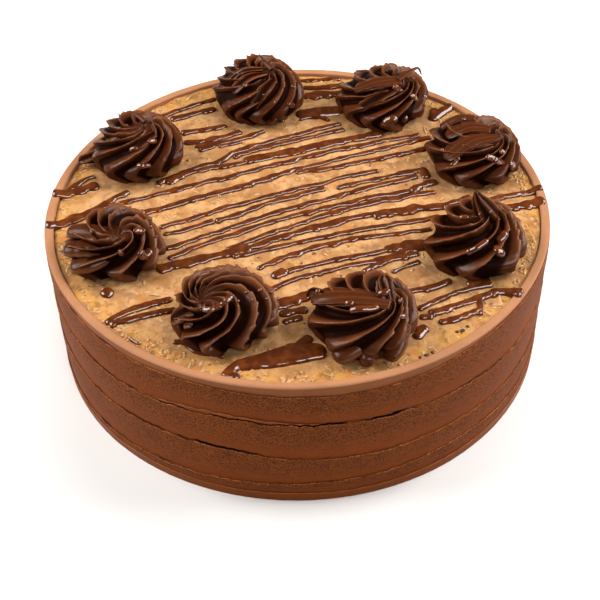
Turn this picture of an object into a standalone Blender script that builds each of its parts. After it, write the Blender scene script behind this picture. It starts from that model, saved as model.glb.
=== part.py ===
"""German chocolate cake: a round, iced layer cake, 10 inches across, +Z up, front at -Y.

The side is chocolate icing combed into bands that overlap like shingles, and its top edge
stands up as a smooth rim. A coconut and pecan topping fills the dish inside the rim.
Chocolate drizzle lies on the topping in near-parallel strokes. Eight piped chocolate
rosettes stand on the topping in a ring. Lengths are in metres, and tables marked mm are
in millimetres. The origin is at the middle of the foot.
"""

import math
import random

import bmesh
import bpy
from mathutils import Vector, noise

MM = 0.001
GAP = 0.3 * MM

# The iced cake
RIM_RADIUS = 127.0 * MM
FOOT_RADIUS = 124.4 * MM
CAKE_HEIGHT = 79.4 * MM
RIM_WIDTH = 4.4 * MM
RIM_ROUNDING = 1.0 * MM
RIM_ARC = (145.0, 90.0, 35.0)
RIM_DRAFT = 0.2 * MM
DISH_DEPTH = 7.8 * MM
CAKE_STEPS = 52

# Bands of icing on the side, each from its upper edge to its lower edge, in mm above the foot
BANDS = ((73.2, 54.0), (54.0, 28.4), (28.4, 12.0), (12.0, 4.6))
BAND_LIP = 0.3 * MM
BAND_BULGE = 0.4 * MM
BULGE_PLACE = 0.3
BAND_TUCK = 0.3 * MM
BAND_STEP = 0.4 * MM

# The coconut topping
TOPPING_LEVEL = CAKE_HEIGHT - 1.8 * MM
TOPPING_RADIUS = RIM_RADIUS - RIM_WIDTH - GAP
TOPPING_EDGE_DROP = 0.4 * MM
TOPPING_EDGE_WIDTH = 4.0 * MM
TOPPING_RINGS = 13
RELIEF = 0.35 * MM
RELIEF_SIZE = 13.0 * MM
SEAT_MARGIN = 1.5 * MM
SEAT_BLEND = 5.0 * MM

# Rosettes: name, centre x and y, outer radius, height of the coil, height of the peak,
# lean of the peak in x and y, turn in degrees, all lengths in mm
ROSETTES = (
    ("rosette_1", -82.5, 46.0, 24.6, 25.0, 28.0, -4.0, 3.0, 10.0),
    ("rosette_2", -19.0, 94.5, 24.9, 24.5, 27.0, -4.0, 3.0, 70.0),
    ("rosette_3", 48.5, 86.5, 25.3, 23.0, 26.5, 6.0, 3.0, 130.0),
    ("rosette_4", 92.5, 36.0, 26.0, 22.0, 23.5, -3.0, 2.0, 200.0),
    ("rosette_5", 86.0, -36.5, 25.5, 25.0, 37.0, 4.0, 9.0, 250.0),
    ("rosette_6", 29.0, -86.5, 25.3, 24.5, 29.0, 6.0, 5.0, 300.0),
    ("rosette_7", -35.0, -82.5, 25.8, 25.0, 24.0, -3.0, 0.0, 20.0),
    ("rosette_8", -89.5, -31.5, 24.8, 23.5, 23.0, -3.0, 0.0, 80.0),
)
FLUTES = 10
FLUTE_DEPTH = 2.9 * MM
# How far the icing is cut in at a crest, beside it and at the bottom of a trough
FLUTE_SHAPE = (0.0, 0.62, 1.0, 0.62)
FLUTE_FADE = 0.45
COIL_TWIST = math.radians(205.0)
LEAN_START = 0.6
SWELL_2 = 0.018
SWELL_3 = 0.012
TILT = 0.05
# Half section of a coil from its foot over its shoulder to the middle, in parts of its
# radius and height
COIL_SECTION = (
    (0.80, 0.00),
    (0.97, 0.20),
    (0.99, 0.46),
    (0.84, 0.76),
    (0.60, 0.95),
    (0.34, 1.00),
)
# Outline of the peak, in parts of the coil's radius and of the height above the coil
PEAK_SECTION = ((0.14, 0.45),)

# Drizzle strokes in mm: start x, y, end x, y, sideways bow, width
DRIZZLE = (
    # strokes over the middle of the cake, from the back to the front
    (-71.0, 27.0, -41.0, 42.5, 1.0, 3.0),
    (-41.0, 42.5, -33.0, 51.0, 0.0, 2.6),
    (-33.0, 51.0, 24.0, 74.0, 1.5, 2.8),
    (-32.0, 47.5, 26.0, 69.0, 1.2, 2.4),
    (-62.0, 31.0, -20.0, 44.0, 1.0, 2.6),
    (-25.0, 43.5, 45.0, 64.0, 0.5, 4.8),
    (-90.0, 10.0, -30.0, 32.0, 0.5, 2.6),
    (-30.0, 32.0, 66.0, 62.0, 2.4, 2.6),
    (-77.0, 2.5, 0.0, 35.0, -1.4, 3.2),
    (0.0, 35.0, 72.0, 59.0, 0.5, 2.6),
    (1.0, 32.0, 71.0, 50.0, -0.8, 2.4),
    (-68.0, -10.0, 42.0, 32.0, 2.0, 2.6),
    (-66.0, -15.0, -43.0, -6.0, -1.0, 2.4),
    (-40.0, -6.0, 14.0, 18.0, 1.3, 2.6),
    (22.0, 18.5, 66.0, 31.5, 0.5, 2.8),
    (-64.0, -26.5, 62.0, 25.5, 3.2, 2.6),
    (-63.0, -33.0, 60.0, 14.5, 5.2, 2.6),
    (60.0, 14.5, 71.0, 21.0, 0.0, 4.2),
    (-34.0, -28.5, 70.0, 12.5, 5.2, 2.6),
    (-24.0, -28.0, 40.0, -4.0, 2.2, 3.6),
    (40.0, -5.0, 74.0, 1.0, 1.0, 4.2),
    (-67.0, -41.0, -25.0, -28.5, 0.0, 5.2),
    (-31.0, -34.0, 71.0, -7.5, 1.5, 2.6),
    (-19.0, -43.0, 30.0, -22.5, 2.2, 2.8),
    (30.0, -22.5, 66.0, -17.0, 0.0, 2.4),
    (-11.0, -48.5, -8.0, -47.0, 0.0, 5.4),
    (-5.0, -46.5, 48.0, -31.5, 1.0, 2.6),
    (45.0, -31.5, 62.0, -28.0, 0.0, 5.6),
    (-13.0, -58.0, 38.0, -40.0, 2.0, 2.4),
    (38.0, -40.0, 60.0, -31.0, 0.0, 3.2),
    (32.0, -47.0, 58.0, -36.0, 1.8, 2.8),
    # short strokes, drops and puddles by the rim and between the rosettes
    (53.0, -62.5, 72.0, -56.5, -1.0, 2.8),
    (56.5, -75.0, 91.0, -59.5, 1.5, 3.0),
    (62.0, -79.0, 92.0, -66.0, 0.5, 3.2),
    (92.0, -66.0, 104.0, -66.5, 1.0, 4.4),
    (66.0, -85.0, 84.0, -77.5, -1.0, 3.4),
    (54.0, -94.5, 57.0, -90.5, 0.0, 3.8),
    (-12.0, -70.0, 8.0, -62.0, 0.0, 5.0),
    (-33.0, -114.0, -28.0, -109.0, 0.0, 4.6),
    (-28.0, -109.0, 2.0, -97.0, 0.0, 4.2),
    (-27.0, -111.0, 9.0, -105.0, -1.0, 3.8),
    (-90.0, -78.0, -62.0, -64.0, 1.5, 3.4),
    (-88.0, -80.0, -60.0, -71.0, 0.0, 3.4),
    (-121.0, 19.0, -104.0, 25.0, 0.0, 4.4),
    (-118.0, 22.0, -106.0, 33.0, 1.0, 2.8),
    (-121.0, -4.0, -97.0, 9.0, 1.0, 3.6),
    (-98.0, 11.0, -87.0, 19.0, 0.0, 2.8),
    (76.0, 78.0, 84.0, 86.0, 0.0, 5.2),
    (4.0, 117.0, 26.0, 118.0, 0.0, 2.6),
    (7.0, 109.5, 28.0, 111.5, -1.0, 2.8),
    (8.0, 102.0, 28.0, 103.5, 0.0, 4.8),
    (5.0, 85.0, 24.0, 87.0, 0.0, 6.6),
    (-74.0, 85.0, -44.0, 101.0, 0.0, 2.6),
    (-66.0, 83.0, -44.0, 91.0, 0.0, 3.2),
    (-60.0, 70.0, -38.0, 75.0, -0.5, 3.0),
    (-58.0, 61.0, -30.0, 69.0, -1.5, 3.2),
    (-52.0, 57.5, -17.0, 69.0, -1.5, 2.8),
    (98.0, 4.5, 121.0, 11.0, 0.0, 3.2),
    (103.0, -3.5, 121.0, 0.5, 0.0, 4.8),
)
STROKE_STEP = 14.0 * MM
STROKE_RISE = 0.3
BLUNT_END = 0.7
STROKE_SWAY = 0.3 * MM
STROKE_CLEARANCE = 0.9 * MM
TRIM_STEP = 1.0 * MM
SHORTEST_STROKE = 3.0 * MM


def clear_scene():
    for old in list(bpy.data.objects):
        bpy.data.objects.remove(old, do_unlink=True)


def new_collection(name):
    collection = bpy.data.collections.new(name)
    bpy.context.scene.collection.children.link(collection)
    return collection


def plain_material(name, colour, roughness):
    material = bpy.data.materials.new(name)
    material.use_nodes = True
    shader = material.node_tree.nodes["Principled BSDF"]
    shader.inputs["Base Color"].default_value = (*colour, 1.0)
    shader.inputs["Roughness"].default_value = roughness
    shader.inputs["Metallic"].default_value = 0.0
    return material


def turned_object(name, profile, steps, collection):
    """A profile of (radius, height) points turned about the Z axis by a Screw modifier."""
    mesh = bpy.data.meshes.new(name)
    points = [(radius, 0.0, height) for radius, height in profile]
    edges = [(i, i + 1) for i in range(len(points) - 1)]
    mesh.from_pydata(points, edges, [])
    turned = bpy.data.objects.new(name, mesh)
    collection.objects.link(turned)
    screw = turned.modifiers.new("turn", "SCREW")
    screw.steps = steps
    screw.render_steps = steps
    screw.use_merge_vertices = True
    screw.merge_threshold = 0.00005
    return turned


def baked_mesh(source):
    """The evaluated mesh of an object, with its doubled corners welded."""
    depsgraph = bpy.context.evaluated_depsgraph_get()
    mesh = bpy.data.meshes.new_from_object(source.evaluated_get(depsgraph))
    work = bmesh.new()
    work.from_mesh(mesh)
    bmesh.ops.remove_doubles(work, verts=work.verts, dist=0.00002)
    work.to_mesh(mesh)
    work.free()
    return mesh


def side_radius(height):
    """Radius of the cake's side, which widens evenly from the foot to the rim."""
    return FOOT_RADIUS + (RIM_RADIUS - FOOT_RADIUS) * height / CAKE_HEIGHT


def cake_profile():
    """From the middle of the dish over the rim and down the banded side to the foot."""
    inner = RIM_RADIUS - RIM_WIDTH
    floor = CAKE_HEIGHT - DISH_DEPTH
    shoulder = CAKE_HEIGHT - RIM_ROUNDING
    half = RIM_WIDTH / 2
    points = [(0.0, floor), (inner, floor), (inner, shoulder)]
    for degrees in RIM_ARC:
        angle = math.radians(degrees)
        radius = RIM_RADIUS - half + half * math.cos(angle)
        points.append((radius, shoulder + RIM_ROUNDING * math.sin(angle)))
    points.append((RIM_RADIUS, shoulder - 0.6 * RIM_ROUNDING))
    points.append((RIM_RADIUS - RIM_DRAFT, BANDS[0][0] * MM + BAND_STEP))
    for upper, lower in BANDS:
        top = upper * MM
        bottom = lower * MM
        bulge = top + BULGE_PLACE * (bottom - top)
        points.append((side_radius(top) + BAND_LIP, top))
        points.append((side_radius(top) + BAND_BULGE, bulge))
        points.append((side_radius(bottom) - BAND_TUCK, bottom + BAND_STEP))
    points.append((FOOT_RADIUS + BAND_LIP, BANDS[-1][1] * MM))
    points.append((FOOT_RADIUS, 0.0))
    points.append((0.0, 0.0))
    return points


def seat_mask(x, y):
    """0 under and beside a rosette, where the topping is pressed level, rising to 1."""
    mask = 1.0
    for _, cx, cy, radius, *_ in ROSETTES:
        away = math.hypot(x - cx * MM, y - cy * MM) - radius * MM - SEAT_MARGIN
        mask = min(mask, max(0.0, min(1.0, away / SEAT_BLEND)))
    return mask


def topping_height(x, y):
    """Level of the topping, with the soft lumps of the coconut."""
    point = Vector((x / RELIEF_SIZE, y / RELIEF_SIZE, 0.0))
    lumps = noise.fractal(point, 0.8, 2.0, 2)
    inward = min(1.0, (TOPPING_RADIUS - math.hypot(x, y)) / TOPPING_EDGE_WIDTH)
    drop = TOPPING_EDGE_DROP * (1.0 - max(0.0, inward))
    return TOPPING_LEVEL + RELIEF * lumps * seat_mask(x, y) - drop


def topping_body(collection):
    """A turned disc with its upper face moved up and down by the lumps."""
    bottom = CAKE_HEIGHT - DISH_DEPTH + GAP
    rings = range(TOPPING_RINGS)
    profile = [(TOPPING_RADIUS * i / (TOPPING_RINGS - 1), TOPPING_LEVEL) for i in rings]
    profile += [(TOPPING_RADIUS, bottom), (0.0, bottom)]
    disc = turned_object("coconut_topping", profile, CAKE_STEPS, collection)
    mesh = baked_mesh(disc)
    for vertex in mesh.vertices:
        if vertex.co.z > TOPPING_LEVEL - GAP:
            vertex.co.z = topping_height(vertex.co.x, vertex.co.y)
    disc.modifiers.clear()
    disc.data = mesh
    return disc


def stroke_points(row, rng):
    """A stroke's line over the topping, as (x, y) points a few millimetres apart."""
    x0, y0, x1, y1, bow, _ = (value * MM for value in row)
    length = math.hypot(x1 - x0, y1 - y0)
    count = max(2, round(length / STROKE_STEP) + 1)
    across = Vector((-(y1 - y0), x1 - x0)) / length
    points = []
    for i in range(count):
        t = i / (count - 1)
        sway = bow * 4 * t * (1 - t) + rng.uniform(-STROKE_SWAY, STROKE_SWAY)
        points.append(Vector((x0 + (x1 - x0) * t, y0 + (y1 - y0) * t)) + across * sway)
    return points


def is_clear(point, half_width):
    """Whether a stroke at this point stays off the rim and off every rosette."""
    margin = half_width + STROKE_CLEARANCE
    if point.length > TOPPING_RADIUS - margin:
        return False
    for _, cx, cy, radius, *_ in ROSETTES:
        if (point - Vector((cx * MM, cy * MM))).length < radius * MM + margin:
            return False
    return True


def clear_run(points, half_width):
    """The longest stretch of a stroke that is clear, with its ends trimmed to fit."""
    fine = []
    for a, b in zip(points, points[1:]):
        pieces = max(1, round((b - a).length / TRIM_STEP))
        fine += [a.lerp(b, k / pieces) for k in range(pieces)]
    fine.append(points[-1])
    best, current = [], []
    for point in fine:
        if is_clear(point, half_width):
            current.append(point)
        else:
            current = []
        if len(current) > len(best):
            best = list(current)
    if len(best) < 2 or (best[-1] - best[0]).length < SHORTEST_STROKE:
        return []
    every = round(STROKE_STEP / TRIM_STEP)
    kept = best[:-1:every]
    if len(kept) > 1 and (kept[-1] - best[-1]).length < 0.5 * STROKE_STEP:
        kept.pop()
    return kept + [best[-1]]


def stroke_object(name, run, half_width, collection):
    """A round strand of chocolate along the run, a little thinner at both ends."""
    curve = bpy.data.curves.new(name, "CURVE")
    curve.dimensions = "3D"
    curve.bevel_depth = half_width
    curve.bevel_resolution = 1
    curve.use_fill_caps = True
    spline = curve.splines.new("POLY")
    spline.points.add(len(run) - 1)
    for target, place in zip(spline.points, run):
        level = topping_height(place.x, place.y) + half_width * STROKE_RISE
        target.co = (place.x, place.y, level, 1.0)
    spline.points[0].radius = BLUNT_END
    spline.points[-1].radius = BLUNT_END
    strand = bpy.data.objects.new(name, curve)
    collection.objects.link(strand)
    solid = bpy.data.objects.new(name + "_solid", baked_mesh(strand))
    solid.matrix_world = strand.matrix_world
    bpy.data.objects.remove(strand, do_unlink=True)
    collection.objects.link(solid)
    return solid


def join_strands(disc, strands):
    """One union of the topping with every strand, after which the strands are removed."""
    union = disc.modifiers.new("drizzle", "BOOLEAN")
    union.operation = "UNION"
    union.operand_type = "COLLECTION"
    union.collection = strands
    union.solver = "MANIFOLD"
    mesh = baked_mesh(disc)
    disc.modifiers.clear()
    disc.data = mesh
    for strand in list(strands.objects):
        bpy.data.objects.remove(strand, do_unlink=True)
    bpy.data.collections.remove(strands)


def build_topping(collection):
    disc = topping_body(collection)
    strands = new_collection("drizzle strands")
    rng = random.Random(11)
    for i, row in enumerate(DRIZZLE):
        half_width = row[-1] * MM / 2
        run = clear_run(stroke_points(row, rng), half_width)
        if run:
            stroke_object(f"strand_{i:02d}", run, half_width, strands)
    join_strands(disc, strands)
    return disc


def rosette_rings(radius, height, peak, lean, rng):
    """Rings of points from the foot of a rosette to its tip.

    The half section gives each ring a radius and a height. Ten flutes cut into the ring
    along the section's inward normal, and the ring is turned further the nearer it is to
    the middle, so that the crests run in a swirl. The rings above the coil lean over.
    """
    section = [Vector((r * radius, z * height)) for r, z in COIL_SECTION]
    for r, z in PEAK_SECTION:
        section.append(Vector((r * radius, height + z * (peak - height))))
    wave = [rng.uniform(0.0, math.tau) for _ in range(3)]
    columns = FLUTES * len(FLUTE_SHAPE)
    rings = []
    for i, point in enumerate(section):
        after = section[min(i + 1, len(section) - 1)]
        before = section[max(i - 1, 0)]
        along = (after - before).normalized()
        inward = Vector((-along.y, along.x))
        cut = FLUTE_DEPTH * min(1.0, point.x / (FLUTE_FADE * radius))
        turn = COIL_TWIST * (1.0 - point.x / radius)
        rise = max(0.0, point.y / height - LEAN_START)
        ring = []
        for k in range(columns):
            angle = math.tau * k / columns + turn
            place = point + inward * cut * FLUTE_SHAPE[k % len(FLUTE_SHAPE)]
            if i == 0:
                place.y = 0.0
            swell = SWELL_2 * math.sin(2 * angle + wave[0]) + SWELL_3 * math.sin(3 * angle + wave[1])
            reach = place.x * (1.0 + swell)
            lift = place.y * (1.0 + TILT * math.sin(angle + wave[2]))
            ring.append(
                Vector((reach * math.cos(angle), reach * math.sin(angle), lift)) + rise * lean
            )
        rings.append(ring)
    tip = Vector((0.0, 0.0, peak)) + (peak / height - LEAN_START) * lean
    return rings, tip


def loft(name, rings, tip, collection):
    """A closed body through rings of equal count, flat at the foot and shut at the tip."""
    work = bmesh.new()
    rows = [[work.verts.new(point) for point in ring] for ring in rings]
    foot = work.verts.new((0.0, 0.0, rings[0][0].z))
    top = work.verts.new(tip)
    count = len(rows[0])
    for k in range(count):
        n = (k + 1) % count
        work.faces.new((foot, rows[0][n], rows[0][k]))
        work.faces.new((top, rows[-1][k], rows[-1][n]))
        for low, high in zip(rows, rows[1:]):
            work.faces.new((low[k], low[n], high[n], high[k]))
    bmesh.ops.triangulate(work, faces=work.faces)
    bmesh.ops.recalc_face_normals(work, faces=work.faces)
    mesh = bpy.data.meshes.new(name)
    work.to_mesh(mesh)
    work.free()
    body = bpy.data.objects.new(name, mesh)
    collection.objects.link(body)
    return body


def build_rosette(row, seed, collection):
    name, x, y, radius, height, peak, lean_x, lean_y, turn = row
    rng = random.Random(seed)
    lean = Vector((lean_x, lean_y, 0.0)) * MM
    rings, tip = rosette_rings(radius * MM, height * MM, peak * MM, lean, rng)
    rosette = loft(name, rings, tip, collection)
    rosette.location = (x * MM, y * MM, TOPPING_LEVEL + GAP)
    rosette.rotation_euler = (0.0, 0.0, math.radians(turn))
    return rosette


def main():
    clear_scene()
    cake = new_collection("german_chocolate_cake")
    icing = plain_material("milk_chocolate_icing", (0.20, 0.085, 0.045), 0.55)
    coconut = plain_material("coconut_and_pecan", (0.62, 0.36, 0.13), 0.65)
    ganache = plain_material("dark_chocolate_piping", (0.05, 0.02, 0.012), 0.3)

    iced = turned_object("iced_cake", cake_profile(), CAKE_STEPS, cake)
    iced.data.materials.append(icing)
    topping = build_topping(cake)
    topping.data.materials.clear()
    topping.data.materials.append(coconut)
    for seed, row in enumerate(ROSETTES):
        rosette = build_rosette(row, seed, cake)
        rosette.data.materials.append(ganache)


main()
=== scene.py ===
"""Looks of a german chocolate cake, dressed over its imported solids, in metres, +Z up.

The cake is put together as a baker does it: icing combed round the side, coconut and pecan
filling spread inside the rim, eight rosettes piped on it, and chocolate sauce drizzled over.
"""

import math

import bpy
import numpy as np
from mathutils import Matrix, Vector


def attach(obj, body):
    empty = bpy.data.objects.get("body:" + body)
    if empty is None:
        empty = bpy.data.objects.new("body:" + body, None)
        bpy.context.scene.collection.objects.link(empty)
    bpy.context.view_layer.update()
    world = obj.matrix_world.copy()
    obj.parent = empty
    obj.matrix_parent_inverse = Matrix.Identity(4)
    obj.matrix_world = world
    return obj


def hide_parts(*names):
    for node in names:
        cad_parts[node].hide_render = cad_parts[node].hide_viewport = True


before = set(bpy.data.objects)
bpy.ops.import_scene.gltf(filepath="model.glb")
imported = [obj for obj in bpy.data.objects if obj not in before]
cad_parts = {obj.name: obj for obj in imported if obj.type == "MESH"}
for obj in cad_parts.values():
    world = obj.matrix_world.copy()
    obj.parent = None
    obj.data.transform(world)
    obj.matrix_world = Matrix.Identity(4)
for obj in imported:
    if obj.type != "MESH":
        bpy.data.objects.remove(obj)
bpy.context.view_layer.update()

# The iced cake. A layer cake covered in milk chocolate icing. A notched comb held against the
# turning cake has drawn the icing into four bands that lap over each other, rough and full of
# pores, and a smooth blade has pushed its top edge up into a rim.
MM = 0.001
RIM_RADIUS = 127.0 * MM
FOOT_RADIUS = 124.4 * MM
WIDEST = 127.18 * MM
CAKE_HEIGHT = 79.4 * MM
RIM_WIDTH = 4.4 * MM
RIM_ROUNDING = 1.1 * MM
RIM_SQUARED = 0.8
RIM_RIPPLE = 0.16 * MM
DISH_DEPTH = 7.8 * MM
SIDE_COLUMNS = 740

# A second stroke of the comb left a thin smooth strip above the second band: how far it rises
# over that band. Then the upper edge of each of the four bands and of the smooth foot, round
# the cake. Both as (degrees from +X, mm).
STRIP_ABOVE = ((-179, 0.3), (-124, 0.3), (-115, 3.3), (-104, 3.0), (-94, 2.1), (-85, 1.3),
               (-78, 0.3), (178, 0.3))
BAND_EDGES = (
    ((-178, 75.2), (-149, 75.2), (-137, 73.4), (-124, 74.3), (-108, 74.8), (-100, 73.5),
     (-91, 72.9), (-76, 72.3), (-64, 73.1), (-57, 74.6), (-48, 76.2), (-37, 76.6),
     (0, 75.4), (60, 73.8), (120, 74.4)),
    ((-173, 52.4), (-146, 53.2), (-134, 52.2), (-122, 53.8), (-105, 55.2), (-92, 53.5),
     (-69, 52.6), (-56, 50.6), (-46, 51.2), (-39, 48.2), (-30, 50.6), (30, 52.8), (100, 54.0)),
    ((-158, 32.2), (-145, 31.3), (-128, 32.2), (-105, 34.0), (-97, 31.0), (-84, 29.3),
     (-68, 28.4), (-58, 29.5), (-47, 28.5), (-39, 26.9), (20, 29.0), (110, 31.0)),
    ((-158, 7.4), (-146, 7.6), (-104, 11.7), (-90, 12.8), (-70, 13.0), (-58, 15.3),
     (-47, 14.8), (-39, 13.1), (30, 12.0), (120, 10.0)),
    ((-158, 4.2), (-106, 5.2), (-90, 5.9), (-79, 4.8), (-40, 5.2), (90, 4.6)),
)
# From the rim down, with the strip's edge as the second: how ragged each edge is, how deep the
# crack above it, and where the crack opens, as the middle and half width in degrees
EDGE_RAGGED = (0.22 * MM, 0.45 * MM, 0.6 * MM, 0.45 * MM, 0.35 * MM, 0.15 * MM)
EDGE_CRACK = (0.8 * MM, 1.3 * MM, 1.9 * MM, 1.2 * MM, 0.9 * MM, 0.25 * MM)
CRACK_OPENS = ((-170, 38), (-70, 9), (-90, 62), (-145, 48), (-150, 30), (0, 1))
# Stretches where a crack gapes: number of the edge under it, from 0, middle and half width
CRACK_GAPES = ((2, -86.5, 6.5), (2, -71.5, 5.5), (3, -107.0, 9.0))
# How far each stretch between edges was bladed smooth, from the rim's face to the foot
BLADED = (0.74, 0.0, 0.6, 0.0, 0.0, 0.0, 0.6)
# Fine ridges on the rim's face: how many, and where round the cake they stand out
RIDGES = 2.4
RIDGES_AT = -170
# How far a combed band stands out at its lip and at its fullest, how far it tucks in at its
# foot, how far down the painted highlight on its lip fades, and how far in the ledge at the back of a
# crack lies
BAND_LIP = 0.32 * MM
BAND_BULGE = 0.42 * MM
BAND_TUCK = 0.3 * MM
LIP_HIGHLIGHT_FADE = 0.19 * MM
CRACK_LEDGE = 0.25 * MM
# Rows of a combed band, as shares of its height from its lip down
BAND_ROWS = (0, 0.01, 0.022, 0.04, 0.07, 0.11, 0.17, 0.25, 0.34, 0.45, 0.56, 0.67, 0.77, 0.85,
             0.9, 0.93, 0.955, 0.975, 0.99)


def corner_value(x, y, z, seed):
    """A fixed number from -1 to 1 for each whole-number corner, from mixed-up bits."""
    mixed = (x * 374761393 + y * 668265263 + z * 1440662683 + seed * 974711) & 0xFFFFFFFF
    mixed = ((mixed ^ (mixed >> 13)) * 1274126177) & 0xFFFFFFFF
    return ((mixed ^ (mixed >> 16)) & 0xFFFF) / 32767.5 - 1.0


def soft_noise(x, y, z, seed):
    """Corner values of a unit grid, blended between corners by 6t^5 - 15t^4 + 10t^3."""
    cell = [np.floor(v).astype(np.int64) for v in (x, y, z)]
    part = [v - c for v, c in zip((x, y, z), cell)]
    ease = [t * t * t * (t * (t * 6 - 15) + 10) for t in part]
    total = 0.0
    for corner in range(8):
        step = [(corner >> k) & 1 for k in range(3)]
        weight = 1.0
        for e, s in zip(ease, step):
            weight = weight * (e if s else 1 - e)
        total = total + weight * corner_value(*(c + s for c, s in zip(cell, step)), seed)
    return total


def rough_noise(x, y, z, seed, layers):
    """Sum of soft noises, each of half the size and half the height of the one before."""
    total = 0.0
    for k in range(layers):
        total = total + soft_noise(x * 2**k, y * 2**k, z * 2**k, seed + k) / 2**k
    return total


def step_up(low, high, value):
    """0 below low, 1 above high, and 3t^2 - 2t^3 between."""
    t = np.clip((value - low) / (high - low), 0, 1)
    return t * t * (3 - 2 * t)


def joined_skin(name, parts, marks=None):
    """One mesh from closed parts, each (corners, quads, triangles). A part whose signed volume
    is negative faces inwards, so its faces are turned. Marks are named values of the corners."""
    corners, quads, triangles, first = [], [], [], 0
    for points, four, three in parts:
        a, b, c, d = (points[four[:, k]] for k in range(4))
        volume = np.sum(np.cross(a, b) * c) + np.sum(np.cross(a, c) * d)
        a, b, c = (points[three[:, k]] for k in range(3))
        volume += np.sum(np.cross(a, b) * c)
        turn = -1 if volume < 0 else 1
        corners.append(points)
        quads.append(four[:, ::turn] + first)
        triangles.append(three[:, ::turn] + first)
        first += len(points)
    corners, quads, triangles = map(np.concatenate, (corners, quads, triangles))
    loops = np.concatenate([quads.ravel(), triangles.ravel()]).astype(np.int32)
    starts = np.concatenate([
        np.arange(len(quads)) * 4, len(quads) * 4 + np.arange(len(triangles)) * 3
    ]).astype(np.int32)
    mesh = bpy.data.meshes.new(name)
    mesh.vertices.add(len(corners))
    mesh.vertices.foreach_set("co", corners.astype(np.float32).ravel())
    mesh.loops.add(len(loops))
    mesh.loops.foreach_set("vertex_index", loops)
    mesh.polygons.add(len(starts))
    mesh.polygons.foreach_set("loop_start", starts)
    mesh.update(calc_edges=True)
    mesh.shade_smooth()
    for mark, values in (marks or {}).items():
        layer = mesh.attributes.new(mark, "FLOAT", "POINT")
        layer.data.foreach_set("value", np.concatenate(values).astype(np.float32).ravel())
    piece = bpy.data.objects.new(name, mesh)
    bpy.context.scene.collection.objects.link(piece)
    return piece


def wrapped_part(rings, first_pole, last_pole):
    """A closed part from rings of equal count, shut at both ends by a fan to a pole."""
    rows, columns = rings.shape[:2]
    here = np.arange(columns)
    after = (here + 1) % columns
    row = np.arange(rows - 1)[:, None] * columns
    quads = np.stack([row + here, row + after, row + columns + after, row + columns + here], -1)
    last = (rows - 1) * columns
    start, end = rows * columns, rows * columns + 1
    fans = np.concatenate([
        np.stack([after, here, np.full(columns, start)], 1),
        np.stack([last + here, last + after, np.full(columns, end)], 1),
    ])
    corners = np.concatenate([rings.reshape(-1, 3), [first_pole, last_pole]])
    return corners, quads.reshape(-1, 4), fans


def with_poles(values):
    """The marks of a wrapped part: those of its rings, then its two poles'."""
    return np.concatenate([values.ravel(), [values[0].mean(), values[-1].mean()]])


def edge_height(points, angle):
    """Height of a band's edge: straight between its points, softened over 12 degrees."""
    places, heights = np.array(points, float).T
    order = np.argsort(places)
    around = [np.degrees(angle) + shift for shift in np.linspace(-6, 6, 7)]
    lines = [np.interp(a, places[order], heights[order], period=360) for a in around]
    return np.mean(lines, 0) * MM


def side_radius(height):
    """Radius of the side, which widens evenly from the foot to the rim."""
    return FOOT_RADIUS + (RIM_RADIUS - FOOT_RADIUS) * height / CAKE_HEIGHT


def degrees_off(angle, middle):
    """How far round the cake an angle is from a middle in degrees, from 0 to 180."""
    return np.abs((np.degrees(angle) - middle + 180) % 360 - 180)


def side_noise(angle, size, seed, layers=1):
    """Noise that changes only along the side, with waves of a size."""
    level = np.zeros_like(angle)
    return rough_noise(angle * RIM_RADIUS / size, level, level, seed, layers)


def ragged_edges(angle):
    """Height of each edge from the rim down, with noise up to a fifth of the gap under it."""
    lines = [edge_height(points, angle) for points in BAND_EDGES]
    lines.insert(1, lines[1] + edge_height(STRIP_ABOVE, angle))
    edges = []
    for k, line in enumerate(lines):
        gap = np.maximum(0.15 * MM, line - lines[k + 1]) if k + 1 < len(lines) else 1.0
        ragged = side_noise(angle, 3.0 * MM, 20 + 3 * k, 3)
        edges.append(line + np.minimum(EDGE_RAGGED[k], 0.2 * gap) * ragged)
    return edges


def crack_over(angle, k, rise):
    """How far the crack over an edge cuts in and how much painted shade it gets, at a rise above
    the edge. It is deep and shaded where it opens, more so where it gapes, and worn away by noise."""
    middle, width = CRACK_OPENS[k]
    opens = 1 - step_up(width * 0.8, width * 1.1, degrees_off(angle, middle))
    depth = EDGE_CRACK[k] * (0.2 + 0.8 * opens)
    depth = depth * (0.75 + 0.5 * side_noise(angle, 5 * MM, 80 + k))
    worn = step_up(-0.5, 0.4, side_noise(angle, 7 * MM, 95 + k))
    for edge, middle, width in CRACK_GAPES:
        if edge == k:
            gape = 1 - step_up(width * 0.6, width, degrees_off(angle, middle))
            worn = np.maximum(worn, 1.8 * gape)
            depth = depth * (1 + 0.6 * gape)
    # painted shade in the crack, darkest just over the edge where the crack opens
    dark = step_up(1.25 * MM, 0.6 * MM, rise) * (opens * np.minimum(0.6 * worn, 1))
    bite = step_up(1.2 * MM, 0.25 * MM, rise)
    return depth * bite * (0.4 + 0.6 * np.minimum(worn, 1)), dark


def rim_rings(angle, inner):
    """Rows of radius and height from the dish over the rim: half a squared-off ellipse."""
    shoulder = CAKE_HEIGHT - RIM_ROUNDING
    level = np.zeros_like(angle)
    half = (RIM_RADIUS - inner) / 2
    rows = [(inner, CAKE_HEIGHT - DISH_DEPTH + level), (inner, shoulder - 1.2 * MM + level)]
    for turn in np.radians(np.linspace(180, 0, 17)):
        across = np.sign(np.cos(turn)) * abs(math.cos(turn)) ** RIM_SQUARED
        ripple = RIM_RIPPLE * soft_noise(angle * RIM_RADIUS / (22 * MM), across * 2 + level, level, 6)
        crown = (RIM_ROUNDING + ripple - RIM_RIPPLE) * abs(math.sin(turn)) ** RIM_SQUARED
        rows.append((RIM_RADIUS - half + half * across, shoulder + crown))
    return rows


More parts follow.
